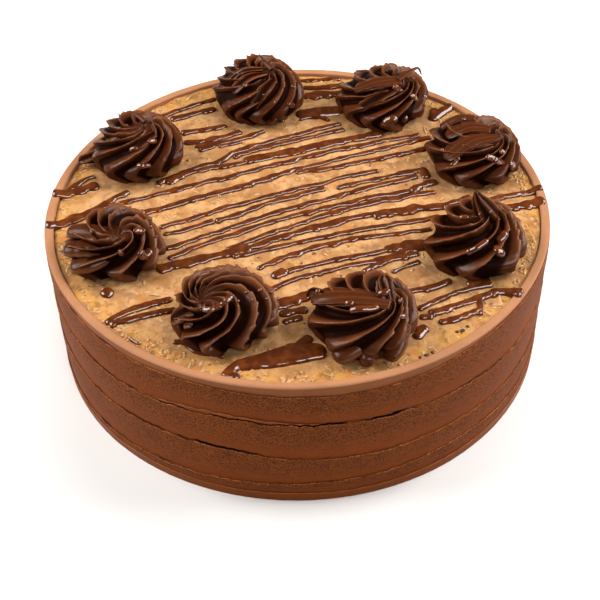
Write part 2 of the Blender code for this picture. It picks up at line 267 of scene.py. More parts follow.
def iced_rings(angle):
    """Rows of (radius, height, smoothness, place down the band, crack shade, lip highlight) at each
    angle.

    From the dish the rows go over the rim and down its face. Each band then starts with a lip,
    bulges by a half sine and tucks in at its foot, where the crack over the next band cuts
    in, with a ledge at its back. Each lip, and each crest of the face's ridges, is marked for a
    painted highlight; each crack, its ledge and each trough between the ridges for painted shade."""
    none = np.zeros_like(angle)
    one = none + 1
    along = angle * RIM_RADIUS
    bladed = (one, none, none, none)
    inner = RIM_RADIUS - RIM_WIDTH + 0.25 * MM * side_noise(angle, 9 * MM, 5)
    rows = [(*row, *bladed) for row in rim_rings(angle, inner)]
    edges = ragged_edges(angle)
    shade = none
    bands = zip([(CAKE_HEIGHT - RIM_ROUNDING) * one] + edges, edges + [none], BLADED)
    for k, (upper, lower, smooth) in enumerate(bands):
        for t in BAND_ROWS[::2] if smooth else BAND_ROWS:
            height = upper + (lower - upper) * t
            base = np.minimum(side_radius(height), RIM_RADIUS)
            waves = soft_noise(along / (31 * MM), height / (17 * MM), none, 40 + k)
            drag = rough_noise(along / (2.6 * MM), height / (1.1 * MM), none, 60 + k, 2)
            crack_shade, lip_highlight = none, none
            if k == 0:
                ridged = 1 - step_up(12, 42, degrees_off(angle, RIDGES_AT))
                wave = np.sin(t * RIDGES * math.tau + 0.8 * waves)
                out = -0.05 * MM - 0.25 * MM * t + (0.06 + 0.34 * ridged) * MM * wave
                # painted shade in the troughs between the face's ridges
                crack_shade = ridged * step_up(-0.4, -0.9, wave) * 0.8
                # painted highlight on the crests of the face's ridges
                lip_highlight = ridged * step_up(0.5, 0.95, wave) * 0.5
            elif smooth:
                out = BAND_LIP * (1 - 0.7 * t) + none
            else:
                bulge = BAND_LIP + (BAND_BULGE - BAND_LIP) * math.sin(math.pi * min(1, t / 0.6))
                out = bulge - (BAND_LIP + BAND_TUCK) * t**2.2
            out = out + (0.14 * MM * waves + 0.09 * MM * drag) * (1 - 0.8 * smooth)
            if k > 0:
                # a painted highlight along the top of each band's lip, broken in stretches by noise
                # and weaker where bladed
                whole = step_up(-0.4, 0.35, side_noise(angle, 4.2 * MM, 90 + k))
                lip_highlight = np.exp(-t * (upper - lower) / LIP_HIGHLIGHT_FADE) * (0.4 + 0.6 * whole)
                lip_highlight = lip_highlight * (1 - 0.55 * smooth)
            if k < len(edges):
                cut, dark = crack_over(angle, k, (1 - t) * (upper - lower))
                # painted shade in the crack over the next edge
                crack_shade = np.maximum(crack_shade, dark)
                out = out - cut
            radius = np.minimum(base + out, WIDEST)
            # the ledge at the back of a crack carries the painted shade of the crack above it
            if k > 0 and t == 0:
                rows.append((radius - CRACK_LEDGE, height, smooth * one, none, shade, none))
            rows.append((radius, height, smooth * one, t * one, crack_shade, lip_highlight))
        shade = crack_shade
    rows.append((FOOT_RADIUS * one, none, *bladed))
    return rows


class Wire:
    """An output of a shader node. Sums, differences and products of wires add Math nodes."""

    def __init__(self, socket):
        self.socket = socket

    def node(self, kind, settings=None, inputs=None, output=0):
        """Adds a node of a kind, sets its settings, then its sockets' values or links."""
        tree = self.socket.id_data
        made = tree.nodes.new(kind)
        for name, value in (settings or {}).items():
            setattr(made, name, value)
        for name, value in (inputs or {}).items():
            if isinstance(value, Wire):
                tree.links.new(value.socket, made.inputs[name])
            elif isinstance(value, tuple) and made.inputs[name].type == "RGBA":
                made.inputs[name].default_value = (*value, 1.0)
            else:
                made.inputs[name].default_value = value
        return Wire(made.outputs[output])

    def maths(self, operation, *numbers):
        """A Math node of that operation on wires or numbers."""
        return self.node("ShaderNodeMath", {"operation": operation}, dict(enumerate(numbers)))

    def __add__(self, other):
        return self.maths("ADD", self, other)

    def __sub__(self, other):
        return self.maths("SUBTRACT", self, other)

    def __rsub__(self, other):
        return self.maths("SUBTRACT", other, self)

    def __mul__(self, other):
        return self.maths("MULTIPLY", self, other)

    __radd__ = __add__
    __rmul__ = __mul__

    def step(self, low, high):
        """0 below low, 1 above high, smooth between; it falls where low is above high."""
        rising = low < high
        ends = (low, high, 0.0, 1.0) if rising else (high, low, 1.0, 0.0)
        inputs = dict(zip(("Value", "From Min", "From Max", "To Min", "To Max"), (self, *ends)))
        return self.node("ShaderNodeMapRange", {"interpolation_type": "SMOOTHSTEP"}, inputs)

    def mix(self, colour, other):
        """The first colour where this wire is 0 and the other where it is 1."""
        return self.node("ShaderNodeMix", {"data_type": "RGBA"}, {0: self, 6: colour, 7: other}, 2)

    def noise(self, size, detail=2.0, shape=(1, 1, 1)):
        """Soft noise from 0 to 1, with this wire as the place and blobs of a size in metres."""
        scaled = self.node("ShaderNodeVectorMath", {"operation": "MULTIPLY"},
                           {0: self, 1: tuple(1 / (size * s) for s in shape)})
        return self.node("ShaderNodeTexNoise", {}, {"Vector": scaled, "Scale": 1.0, "Detail": detail})

    def cells(self, size):
        """Distance from the middle of scattered cells of a size, about 0 to 1."""
        return self.node("ShaderNodeTexVoronoi", {}, {"Vector": self, "Scale": 1 / size})


def new_finish(name, **constants):
    """A material whose unchanging values sit on its shader, and the wire of the place on it."""
    finish = bpy.data.materials.new(name)
    finish.use_nodes = True
    shader = finish.node_tree.nodes["Principled BSDF"]
    for socket, value in constants.items():
        shader.inputs[socket.replace("_", " ")].default_value = value
    place = Wire(finish.node_tree.nodes.new("ShaderNodeTexCoord").outputs["Object"])
    return finish, shader, place


def plug(shader, **wires):
    """Links wires to the shader's sockets of those names."""
    for socket, wire in wires.items():
        tree = shader.id_data
        tree.links.new(wire.socket, shader.inputs[socket.replace("_", " ")])


def bumped(height, distance):
    """The normal of a surface that rises by the height's wire times the distance."""
    return height.node("ShaderNodeBump", {}, {"Strength": 1.0, "Distance": distance, "Height": height})


def marked(place, name):
    """The wire of a named value that the mesh carries."""
    return place.node("ShaderNodeAttribute", {"attribute_name": name}, {}, 2)


# bladed icing, paler than the combed bands: partly its own colour, partly painted top light and sheen
# on the rim's crown
SMOOTH_ICING_AND_SHEEN = (0.368, 0.168, 0.082)
BAND_ICING = (0.170, 0.0402, 0.0042)
BAND_ICING_WARM = (0.177, 0.0375, 0.0042)
# painted highlight on the lips of the bands and the crests of the rim face's ridges
LIP_HIGHLIGHT = (0.62, 0.230, 0.095)
# painted shade in the pores
PORE_SHADE = (0.040, 0.009, 0.002)
# painted shade in the cracks, near black
CRACK_SHADE = (0.008, 0.0018, 0.0005)


def icing_finish():
    """Milk chocolate icing: even, satin and paler where bladed, the paler colour partly painted top
    light and sheen; matt and full of pores where combed, the pores painted dark as shade; a
    painted highlight on a band's lip and painted shade in a crack."""
    finish, shader, place = new_finish(
        "milk_chocolate_icing", Specular_IOR_Level=0.05, Sheen_Weight=0.03, Sheen_Roughness=0.45)
    smooth = marked(place, "bladed")
    down = marked(place, "down_the_band")
    crack_shade = marked(place, "crack_shade")
    comb = smooth.step(0.5, 0.05)
    broad = place.noise(16 * MM, 3.0)
    fine = place.noise(1.5 * MM, 3.0, (1, 1, 0.7))
    upper = down.step(0.95, 0.3)
    # the pores are painted dark as shade in them, and pressed in by the bump below
    pores = place.cells(0.85 * MM).step(0.47, 0.25)
    pores = pores * place.noise(2.2 * MM, 2.0).step(0.12, 0.36) * comb * (0.15 + 0.85 * upper)
    colour = upper.mix(BAND_ICING_WARM, BAND_ICING)
    # bladed icing is paler, partly its own colour and partly painted top light and sheen
    colour = smooth.step(0.62, 1.0).mix(colour, SMOOTH_ICING_AND_SHEEN)
    # painted highlight on the lips
    colour = (marked(place, "lip_highlight") * 0.75).mix(colour, LIP_HIGHLIGHT)
    tone = (0.84 + 0.32 * broad) * (0.92 + 0.16 * fine)
    colour = tone.node("ShaderNodeVectorMath", {"operation": "SCALE"}, {0: colour, "Scale": tone})
    # painted shade: dark in the pores and near black in the cracks
    colour = crack_shade.mix((pores * 0.9).mix(colour, PORE_SHADE), CRACK_SHADE)
    plug(shader, Base_Color=colour, Roughness=0.44 + comb * 0.2)
    relief = fine * (0.25 + 0.75 * comb) - pores * 1.4
    plug(shader, Normal=bumped(relief, 0.32 * MM))
    return finish


side_angle = np.linspace(-math.pi, math.pi, SIDE_COLUMNS, endpoint=False)
radius, height, bladed, down_the_band, crack_shade, lip_highlight = (
    np.array(values) for values in zip(*iced_rings(side_angle))
)
rings = np.stack([radius * np.cos(side_angle), radius * np.sin(side_angle), height], -1)
iced = joined_skin(
    "icing_on_the_side",
    [wrapped_part(rings, (0, 0, CAKE_HEIGHT - DISH_DEPTH), (0, 0, 0))],
    {"bladed": [with_poles(bladed)], "down_the_band": [with_poles(down_the_band)],
     "crack_shade": [with_poles(crack_shade)], "lip_highlight": [with_poles(lip_highlight)]},
)
iced.data.materials.append(icing_finish())
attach(iced, "root")
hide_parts("iced_cake")

# The filling on top. Grated coconut and chopped pecans in a cooked custard, spread inside the
# rim while it is soft. It sets with a lumpy skin, and its edge is crumbly.
TOPPING_LEVEL = CAKE_HEIGHT - 1.8 * MM
TOPPING_RADIUS = RIM_RADIUS - RIM_WIDTH - 0.35 * MM
TOPPING_BOTTOM = CAKE_HEIGHT - DISH_DEPTH + 0.3 * MM
TOPPING_STEPS = 264

# Where the rosettes stand on the filling: number, centre x and y, outer radius, height of the
# coil, height of the peak, lean of the peak in x and y, turn in degrees, how far the swirl's
# middle is off the centre in x and y, all lengths in mm
ROSETTES = (
    (1, -82.5, 46.0, 24.6, 25.0, 24.0, -4.0, 3.0, 10.0, 6.0, -2.0),
    (2, -19.0, 94.5, 24.9, 24.5, 25.0, -4.0, 3.0, 70.0, 5.0, -3.5),
    (3, 48.5, 86.5, 25.3, 23.0, 23.5, 4.0, 2.0, 130.0, 9.0, -4.5),
    (4, 92.5, 36.0, 26.0, 22.0, 20.5, 0.0, 0.0, 200.0, 12.5, -7.5),
    (5, 86.0, -36.5, 25.5, 25.0, 25.0, 1.0, 2.0, 250.0, 6.0, 3.0),
    (6, 29.0, -88.0, 26.0, 24.5, 23.0, 2.0, 0.0, 300.0, 10.5, -7.0),
    (7, -35.0, -82.5, 25.8, 25.0, 20.0, 0.0, 0.0, 20.0, -10.5, -5.0),
    (8, -89.5, -31.5, 24.8, 23.5, 20.0, 0.0, 0.0, 80.0, 4.5, -8.5),
)


def off_the_seats(x, y, margin, blend):
    """0 under and beside a rosette, rising to 1 over the blend past the margin."""
    mask = np.ones_like(x)
    for _, cx, cy, reach, *_ in ROSETTES:
        away = np.hypot(x - cx * MM, y - cy * MM) - reach * MM - margin
        mask = np.minimum(mask, step_up(0, blend, away))
    return mask


def crumbling(x, y):
    """Wide noise that says in which stretches the filling's edge has crumbled."""
    return soft_noise(x / (24 * MM), y / (24 * MM), np.zeros_like(x), 112)


def filling_height(x, y):
    """Level of the filling: wide soft lumps, coconut grain on them, and a broken edge."""
    flat = np.zeros_like(x)
    free = off_the_seats(x, y, 0.0, 5 * MM)
    edge = step_up(TOPPING_RADIUS - 9 * MM, TOPPING_RADIUS - 1 * MM, np.hypot(x, y))
    wide = rough_noise(x / (13 * MM), y / (13 * MM), flat, 100, 2)
    grain = rough_noise(x / (3.8 * MM), y / (3.8 * MM), flat, 104, 2)
    ridge = 1 - 2 * np.abs(soft_noise(x / (5.2 * MM), y / (3.9 * MM), flat, 108))
    crumbly = step_up(0.0, 0.6, crumbling(x, y)) * edge
    lift = 0.4 * MM * wide * free + (0.11 + 0.5 * crumbly) * MM * grain + 0.09 * MM * ridge
    return TOPPING_LEVEL - 0.1 * MM + lift - 0.4 * MM * edge


def filling_part():
    """A square grid squeezed to a disc: x = u sqrt(1 - v^2/2), y = v sqrt(1 - u^2/2). Its
    border goes straight down to the bottom and closes in a fan. The marks say how near a
    rosette and how near the rim a corner is."""
    n = TOPPING_STEPS + 1
    u, v = np.meshgrid(np.linspace(-1, 1, n), np.linspace(-1, 1, n))
    x = TOPPING_RADIUS * u * np.sqrt(1 - v * v / 2)
    y = TOPPING_RADIUS * v * np.sqrt(1 - u * u / 2)
    top = np.stack([x, y, filling_height(x, y)], -1).reshape(-1, 3)
    index = np.arange(n * n).reshape(n, n)
    quads = np.stack([index[:-1, :-1], index[:-1, 1:], index[1:, 1:], index[1:, :-1]], -1)
    border = np.concatenate([index[0, :-1], index[:-1, -1], index[-1, :0:-1], index[:0:-1, 0]])
    low = top[border] * (1, 1, 0) + (0, 0, TOPPING_BOTTOM)
    below = n * n + np.arange(len(border))
    wall = np.stack([np.roll(border, -1), border, below, np.roll(below, -1)], -1)
    fan = np.stack([np.roll(below, -1), below, np.full(len(border), n * n + len(border))], -1)
    corners = np.concatenate([top, low, [(0, 0, TOPPING_BOTTOM)]])
    px, py = corners[:, 0], corners[:, 1]
    by_rosette = 1 - off_the_seats(px, py, -1 * MM, 8 * MM)
    by_rim = step_up(TOPPING_RADIUS - 15 * MM, TOPPING_RADIUS - 2 * MM, np.hypot(px, py))
    return (corners, np.concatenate([quads.reshape(-1, 4), wall]), fan), by_rosette, by_rim


CUSTARD = (0.345, 0.160, 0.054)
CUSTARD_PALE = (0.50, 0.275, 0.115)
CUSTARD_YELLOW = (0.48, 0.230, 0.048)
CUSTARD_BROWN = (0.25, 0.110, 0.042)
CUSTARD_ORANGE = (0.44, 0.150, 0.024)
CUSTARD_GREY = (0.23, 0.124, 0.068)
CUSTARD_SYRUP = (0.25, 0.120, 0.024)
CUSTARD_SPECK = (0.09, 0.035, 0.012)


def custard_finish():
    """Tan custard, paler over coconut, with brown and orange nut oil and half clear smudges
    that are greyer beside the rosettes and yellower along the rim."""
    finish, shader, place = new_finish(
        "coconut_custard", Subsurface_Weight=0.18, Subsurface_Scale=1.6 * MM,
        Specular_IOR_Level=0.4)
    foot = marked(place, "by_rosette")
    edge = marked(place, "by_rim")
    wide = place.noise(11 * MM, 3.0)
    small = place.noise(4.0 * MM, 3.0, (0.8, 1.3, 1))
    colour = (wide * 0.7 + small * 0.3).step(0.4, 0.6).mix(CUSTARD, CUSTARD_PALE)
    colour = (edge * wide.step(0.35, 0.6)).mix(colour, CUSTARD_YELLOW)
    brown = place.noise(4.2 * MM, 4.0, (0.7, 1.3, 1)).step(0.56, 0.7)
    orange = (place.noise(6 * MM, 4.0) + edge * 0.05).step(0.57, 0.7)
    grey = (place.noise(7.0 * MM, 5.0, (1.2, 0.8, 1)) + foot * 0.09).step(0.54, 0.68)
    syrup = (place.noise(5 * MM, 4.0) + edge * 0.09).step(0.6, 0.7)
    for smudge, stain in ((brown, CUSTARD_BROWN), (orange, CUSTARD_ORANGE),
                          (grey, CUSTARD_GREY), (syrup, CUSTARD_SYRUP)):
        colour = (smudge * 0.6).mix(colour, stain)
    specks = place.cells(3.1 * MM).step(0.17, 0.08) * place.noise(5 * MM).step(0.5, 0.6)
    colour = (specks * 0.7).mix(colour, CUSTARD_SPECK)
    fine = place.noise(1.8 * MM, 1.0)
    plug(shader, Base_Color=colour, Roughness=0.52 - grey * 0.24 - syrup * 0.2)
    plug(shader, Normal=bumped(fine + small * 2.0, 0.13 * MM))
    return finish


part, by_rosette, by_rim = filling_part()
filling = joined_skin(
    "coconut_filling", [part], {"by_rosette": [by_rosette], "by_rim": [by_rim]})
filling.data.materials.append(custard_finish())
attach(filling, "root")
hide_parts("coconut_topping")


def scattered_places(rng, count, edge_share):
    """Places on the filling clear of the rosettes' feet: spread evenly, with a share of them
    near the rim."""
    near_rim = rng.random(count) < edge_share
    spread = np.sqrt(rng.random(count)) * (TOPPING_RADIUS - 2 * MM)
    rim = TOPPING_RADIUS - 1.5 * MM - np.abs(rng.normal(0, 3.0, count)) * MM
    away = np.where(near_rim, rim, spread)
    angle = rng.uniform(0, math.tau, count)
    x, y = away * np.cos(angle), away * np.sin(angle)
    clear = off_the_seats(x, y, -6 * MM, 1 * MM) > 0.5
    return x[clear], y[clear]


# Coconut shreds. Grated white flesh, limp from the custard it was cooked in, that lies flat on
# the skin of the filling or half sunk in it, every way round.
SHRED_TRIES = 800
SHRED_RINGS = 6
SHRED_WHITE = (0.56, 0.325, 0.150)
SHRED_SOAKED = (0.43, 0.215, 0.082)


def capped_part(rings):
    """A wrapped part whose poles are the middles of its first and its last ring."""
    return wrapped_part(rings, rings[0].mean(0), rings[-1].mean(0))


def shred_parts(rng, count):
    """Bent strips with a lens section. Along a shred its place is a line plus a sideways bow,
    and its width falls to a fifth at both ends."""
    x, y = scattered_places(rng, count, 0.22)
    n = len(x)
    along = np.linspace(-1, 1, SHRED_RINGS)[None, :]
    length = rng.uniform(1.2, 3.4, (n, 1)) * MM
    heading = rng.uniform(0, math.tau, (n, 1))
    bow = rng.uniform(-0.9, 0.9, (n, 1)) * MM * (1 - along**2)
    px = x[:, None] + length * along * np.cos(heading) - bow * np.sin(heading)
    py = y[:, None] + length * along * np.sin(heading) + bow * np.cos(heading)
    tip = rng.uniform(-0.25, 0.3, (n, 1)) * MM * along
    pz = filling_height(px, py) + tip + rng.uniform(-0.38, 0.0, (n, 1)) * MM
    wide = rng.uniform(0.45, 1.1, (n, 1)) * MM * (1 - 0.8 * along**4)
    thick = wide * 0.38
    spine = np.stack([px, py, pz], -1)[:, :, None, :]
    side = np.stack([-np.sin(heading), np.cos(heading), rng.uniform(-0.4, 0.4, (n, 1))], -1)
    side = side[:, :, None, :] * wide[..., None, None]
    rise = np.array([0, 0, 1.0]) * thick[..., None, None]
    turns = np.radians([0, 60, 120, 180, 270])[None, None, :, None]
    ring = spine + side * np.cos(turns) + rise * np.sin(turns)
    return [capped_part(rings) for rings in ring]


def shred_finish():
    """Coconut shreds: half clear white flesh soaked with custard."""
    finish, shader, place = new_finish(
        "coconut_shred", Subsurface_Weight=0.3, Subsurface_Scale=1.5 * MM, IOR=1.45)
    tone = place.noise(3.5 * MM, 1.0).step(0.3, 0.7)
    plug(shader, Base_Color=tone.mix(SHRED_SOAKED, SHRED_WHITE), Roughness=0.5 - 0.15 * tone)
    return finish


rng = np.random.default_rng(7)
shreds = joined_skin("coconut_shreds", shred_parts(rng, SHRED_TRIES))
shreds.data.materials.append(shred_finish())
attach(shreds, "root")


# Pecan pieces. Nuts chopped with a knife, tan inside with a brown skin, stirred into the
# filling, so that only their upper halves show.
NUT_TRIES = 300
NUT_FLESH = (0.42, 0.22, 0.085)
NUT_SKIN = (0.16, 0.065, 0.028)
LUMP_RINGS = 5
LUMP_CORNERS = 7


def lump_parts(x, y, z, size, rng, squash):
    """Small lumps: a sphere of a few rings, each corner moved in or out by up to a third,
    stretched one way and with its height squashed. The size is its half width."""
    n = len(x)
    turn = np.linspace(0, math.tau, LUMP_CORNERS, endpoint=False)[None, None, :]
    level = np.linspace(0, math.pi, LUMP_RINGS + 2)[1:-1][None, :, None]
    swell = size[:, None, None] * rng.uniform(0.68, 1.2, (n, LUMP_RINGS, LUMP_CORNERS))
    stretch = rng.uniform(0.65, 1.35, (n, 1, 1))
    px = swell * np.sin(level) * np.cos(turn) * stretch
    py = swell * np.sin(level) * np.sin(turn)
    heading = rng.uniform(0, math.tau, (n, 1, 1))
    qx = px * np.cos(heading) - py * np.sin(heading) + x[:, None, None]
    qy = px * np.sin(heading) + py * np.cos(heading) + y[:, None, None]
    qz = swell * squash * np.cos(level) + z[:, None, None]
    top = np.stack([x, y, z + size * squash * 0.9], -1)
    low = np.stack([x, y, z - size * squash * 0.9], -1)
    rings = np.stack([qx, qy, qz], -1)
    return [wrapped_part(r, a, b) for r, a, b in zip(rings, top, low)]


def nut_finish():
    """Chopped pecans: tan flesh with a red-brown skin, wet with custard."""
    finish, shader, place = new_finish("chopped_pecan", IOR=1.45)
    skin = place.noise(2.2 * MM, 2.0).step(0.42, 0.6)
    plug(shader, Base_Color=skin.mix(NUT_FLESH, NUT_SKIN), Roughness=0.5 - skin * 0.15)
    plug(shader, Normal=bumped(place.noise(0.6 * MM), 0.2 * MM))
    return finish


x, y = scattered_places(rng, NUT_TRIES, 0.35)
size = rng.uniform(0.5, 1.5, len(x)) * MM
nuts = joined_skin("pecan_pieces", lump_parts(
    x, y, filling_height(x, y) - 0.25 * size, size, rng, 0.6))
nuts.data.materials.append(nut_finish())
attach(nuts, "root")


# Custard crumbs. Where the filling was scraped thin along the rim it has dried and broken up
# into crumbs and sugary lumps, in some stretches more than in others.
CRUMB_TRIES = 1400
CRUMB_YELLOW = (0.46, 0.200, 0.055)
CRUMB_PALE = (0.56, 0.31, 0.13)


def bright_crumb_finish():
    """Custard crumbs and candied coconut along the rim, tan to yellow and wet."""
    finish, shader, place = new_finish(
        "custard_crumb", Subsurface_Weight=0.25, Subsurface_Scale=1.2 * MM, IOR=1.45)
    tone = place.noise(2.8 * MM, 1.0).step(0.35, 0.65)
    plug(shader, Base_Color=tone.mix(CRUMB_YELLOW, CRUMB_PALE), Roughness=0.42 + 0.1 * tone)
    return finish


x, y = scattered_places(rng, CRUMB_TRIES, 0.85)
loose = crumbling(x, y) > rng.uniform(-0.2, 0.5, len(x))
x, y = x[loose], y[loose]
size = rng.uniform(0.35, 1.2, len(x)) ** 1.5 * MM
crumbs = joined_skin("custard_crumbs", lump_parts(
    x, y, filling_height(x, y) - 0.15 * size, size, rng, 0.7))
crumbs.data.materials.append(bright_crumb_finish())
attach(crumbs, "root")

# Chocolate crumbs. A few bits of the dark icing that fell beside the rosettes and along the
# rim: x, y and size in mm. They have sunk in a little, and are half as wide again as their size.
CHOCOLATE_CRUMBS = (
    (82, 95, 1.9), (85, 92.5, 1.4), (88, 90.5, 1.7), (90, 88, 1.2), (96, 82, 1.9),
    (79, 96.5, 1.3),
    (57, -106, 2.0), (60, -104, 1.6), (54, -107.5, 1.2), (75, -91, 2.0), (77.5, -88.5, 1.5),
    (72.5, -91.5, 1.2), (-77, -91, 0.8), (2, -83, 0.9), (6, -79, 0.7), (112, -22, 0.8),
    (98, 25, 0.9),
)
CRUMB_HALF_WIDTH = 0.75
CRUMB_DARK = (0.026, 0.009, 0.003)
CRUMB_BROWN = (0.085, 0.032, 0.012)


def crumb_finish():
    """Dark icing in crumbs, browner and rougher in blobs."""
    finish, shader, place = new_finish("chocolate_crumb", Specular_IOR_Level=0.3)
    tone = place.noise(1.5 * MM, 2.0)
    plug(shader, Base_Color=tone.step(0.35, 0.6).mix(CRUMB_DARK, CRUMB_BROWN),
         Roughness=0.35 + 0.3 * tone)
    return finish


x, y, size = np.array(CHOCOLATE_CRUMBS, float).T * MM
size = size * CRUMB_HALF_WIDTH
dark_crumbs = joined_skin("chocolate_crumbs", lump_parts(
    x, y, filling_height(x, y) + 0.05 * size, size, rng, 0.42))
dark_crumbs.data.materials.append(crumb_finish())
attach(dark_crumbs, "root")

# The rosettes. Dark chocolate icing pressed straight down out of a closed star tip that was
# turned as it rose, so that sharp crests swirl from the foot to the middle, with deep troughs
# between them. Lifting the tip away left tails, folds and wisps.
ROSETTE_SEAT = TOPPING_LEVEL - 0.2 * MM
FLUTE_DEPTH = 5.2 * MM
FLUTE_FADE = 0.34
FLUTE_SKEW = 0.78
FLUTE_SAMPLES = 20
ROSETTE_ROWS = 104
# How high, as a share of the coil, the peak starts to lean, and how far the crests wind on
# from the foot to the top of the coil
LEAN_START = 0.6
WINDING = math.radians(34)
# The coil's half section, as shares of its outer radius and of its height
COIL_SECTION = ((0.80, 0.00), (0.97, 0.20), (0.99, 0.46), (0.84, 0.76), (0.60, 0.95), (0.34, 1.00))
# For each rosette: crests, twist of the coil in degrees, raggedness of its crests, share of
# the troughs' depth, share of the coil's height from where the crests are sharp, how much
# higher its far side stands
SWIRLS = {
    1: (10, 150, 1.4, 0.85, 0.55, 0.0), 2: (11, 140, 1.9, 0.8, 0.55, 0.0),
    3: (10, 150, 1.5, 0.95, 0.5, 0.0), 4: (9, 165, 1.5, 1.1, 0.5, 0.0),
    5: (9, 140, 0.9, 1.15, 0.3, 0.0), 6: (9, 150, 1.2, 1.2, 0.35, 0.0),
    7: (10, 160, 0.7, 1.35, 0.05, 0.13), 8: (8, 165, 0.9, 1.45, 0.2, 0.05),
}
# Bits pulled by the tip: rosette, crests (0 for a plain wisp), height as a share of the width,
# then points along it (x, y, height above the filling, half width) in mm
PULLED_BITS = (
    (1, 3, 0.75, ((-98, 46, 5, 4.6), (-107, 44.5, 4, 4.4), (-114, 42.8, 3.2, 3.2))),
    (1, 0, 0.8, ((-77, 46, 25.5, 1.5), (-82, 51, 26.5, 1.0), (-87, 55, 25.5, 0.3))),
    (1, 2, 0.5, ((-72, 38, 23.5, 2.5), (-80, 33, 21, 4.0), (-91, 30, 14, 4.4))),
    (1, 0, 0.5, ((-80, 44, 23, 2.0), (-91, 42, 20, 3.4), (-101, 42, 12, 3.4))),
    (2, 0, 0.8, ((-11, 92, 25, 1.8), (-15, 97, 26.5, 1.1), (-18, 99.5, 30, 0.25))),
    (2, 3, 0.45, ((-14, 88, 24.5, 2.5), (-24, 86, 23, 4.6), (-33, 83, 17, 4.4))),
    (2, 2, 0.5, ((-10, 84, 23.5, 2.5), (-17, 78, 19.5, 4.0), (-23, 74, 12, 3.6))),
    (2, 5, 0.6, ((-16, 92, 25, 2.2), (-27, 93, 23.5, 2.8), (-37, 92, 17, 2.6))),
    (3, 0, 0.6, ((56, 80, 24.5, 2.0), (61, 83, 26, 1.5), (67, 87, 26.5, 0.9), (69, 84, 24, 0.3))),
    (3, 9, 0.3, ((58, 79, 23.5, 3.4), (45, 80, 22.5, 5.8), (33, 83, 17, 5.6))),
    (3, 2, 0.4, ((56, 76, 22, 3.0), (44, 71, 19, 4.6), (34, 71, 12, 4.4))),
    (4, 9, 0.28, ((104, 29, 21.5, 3.2), (90, 28, 20, 6.0), (76, 24, 13.5, 6.2))),
    (4, 8, 0.3, ((101, 36, 21.5, 3.2), (90, 39, 21, 5.0), (78, 40, 16, 4.6))),
    (4, 0, 0.5, ((94, 47, 21, 2.0), (86, 49, 20, 3.0), (76, 48, 15, 2.6))),
    (5, 6, 1.1, ((92, -34, 20, 7.0), (89.5, -33.5, 26, 5.4), (87, -33.4, 31.5, 3.4),
                 (85.2, -33.4, 36.5, 0.8))),
    (6, 9, 0.3, ((41, -96, 22.5, 4.0), (28, -92, 22.5, 6.0), (14, -86.5, 19.5, 6.6),
                 (5.5, -83, 16, 5.4))),
    (6, 2, 0.6, ((12, -85, 20, 1.6), (6, -81, 18.5, 2.2), (3.5, -80, 14.5, 1.8))),
    (6, 7, 0.55, ((39, -94, 21, 4.2), (39, -88, 26, 4.4), (39, -83.5, 29, 3.6))),
    (6, 0, 0.95, ((29, -107, 5, 3.0), (29.5, -110.5, 4.2, 3.4), (30, -113.4, 3.2, 3.2),
                  (30, -115, 2.8, 2.9))),
    (6, 0, 0.6, ((40, -94, 14, 4.0), (26, -105.5, 7.5, 5.8), (14.5, -111.5, 3.6, 4.8))),
    (6, 0, 0.55, ((46, -98, 12, 4.6), (43, -107, 6.5, 4.8), (38.5, -112, 2.6, 4.0))),
    (7, 3, 0.8, ((-46, -86, 12, 6.0), (-53, -87.5, 10.5, 6.0), (-59.5, -88, 8.5, 4.6))),
    (8, 0, 0.62, ((-92, -35, 17, 5.0), (-103, -30.5, 16, 5.0), (-112, -28, 14, 4.0))),
    (8, 0, 0.6, ((-92, -41, 13, 6.0), (-104, -39.5, 12.5, 5.6), (-113.5, -38, 11, 4.4))),
    (8, 0, 0.6, ((-86, -37, 9.5, 3.6), (-99, -45.5, 8.8, 5.6), (-110, -47, 7, 4.6))),
)
# For a bit with fewer crests than the first number: how deep they are cut as a share of its
# width, and how strongly crests are lightened (partly painted highlight) and troughs painted with
# shade
PULLED_CUTS = ((5, 0.36, 1.0), (8, 0.22, 0.9), (10, 0.1, 0.5))
PULLED_ROWS = 40
PULLED_SAMPLES = 12


def smooth_line(points, count):
    """A curve through points: each stretch is the cubic whose slope at a point is half the
    way from the point before to the one after, read at equal steps of length."""
    points = np.asarray(points, float)
    padded = np.concatenate([2 * points[:1] - points[1:2], points, 2 * points[-1:] - points[-2:-1]])
    t = np.linspace(0, 1, 24, endpoint=False)[:, None]
    runs = []
    for a, b, c, d in zip(padded, padded[1:], padded[2:], padded[3:]):
        runs.append(0.5 * (2 * b + (c - a) * t + (2 * a - 5 * b + 4 * c - d) * t**2
                           + (3 * b - a - 3 * c + d) * t**3))
    line = np.concatenate(runs + [points[-1:]])
    gone = np.concatenate([[0], np.cumsum(np.linalg.norm(np.diff(line, axis=0), axis=1))])
    wanted = np.linspace(0, gone[-1], count)
    return np.stack([np.interp(wanted, gone, line[:, k]) for k in range(line.shape[1])], 1)


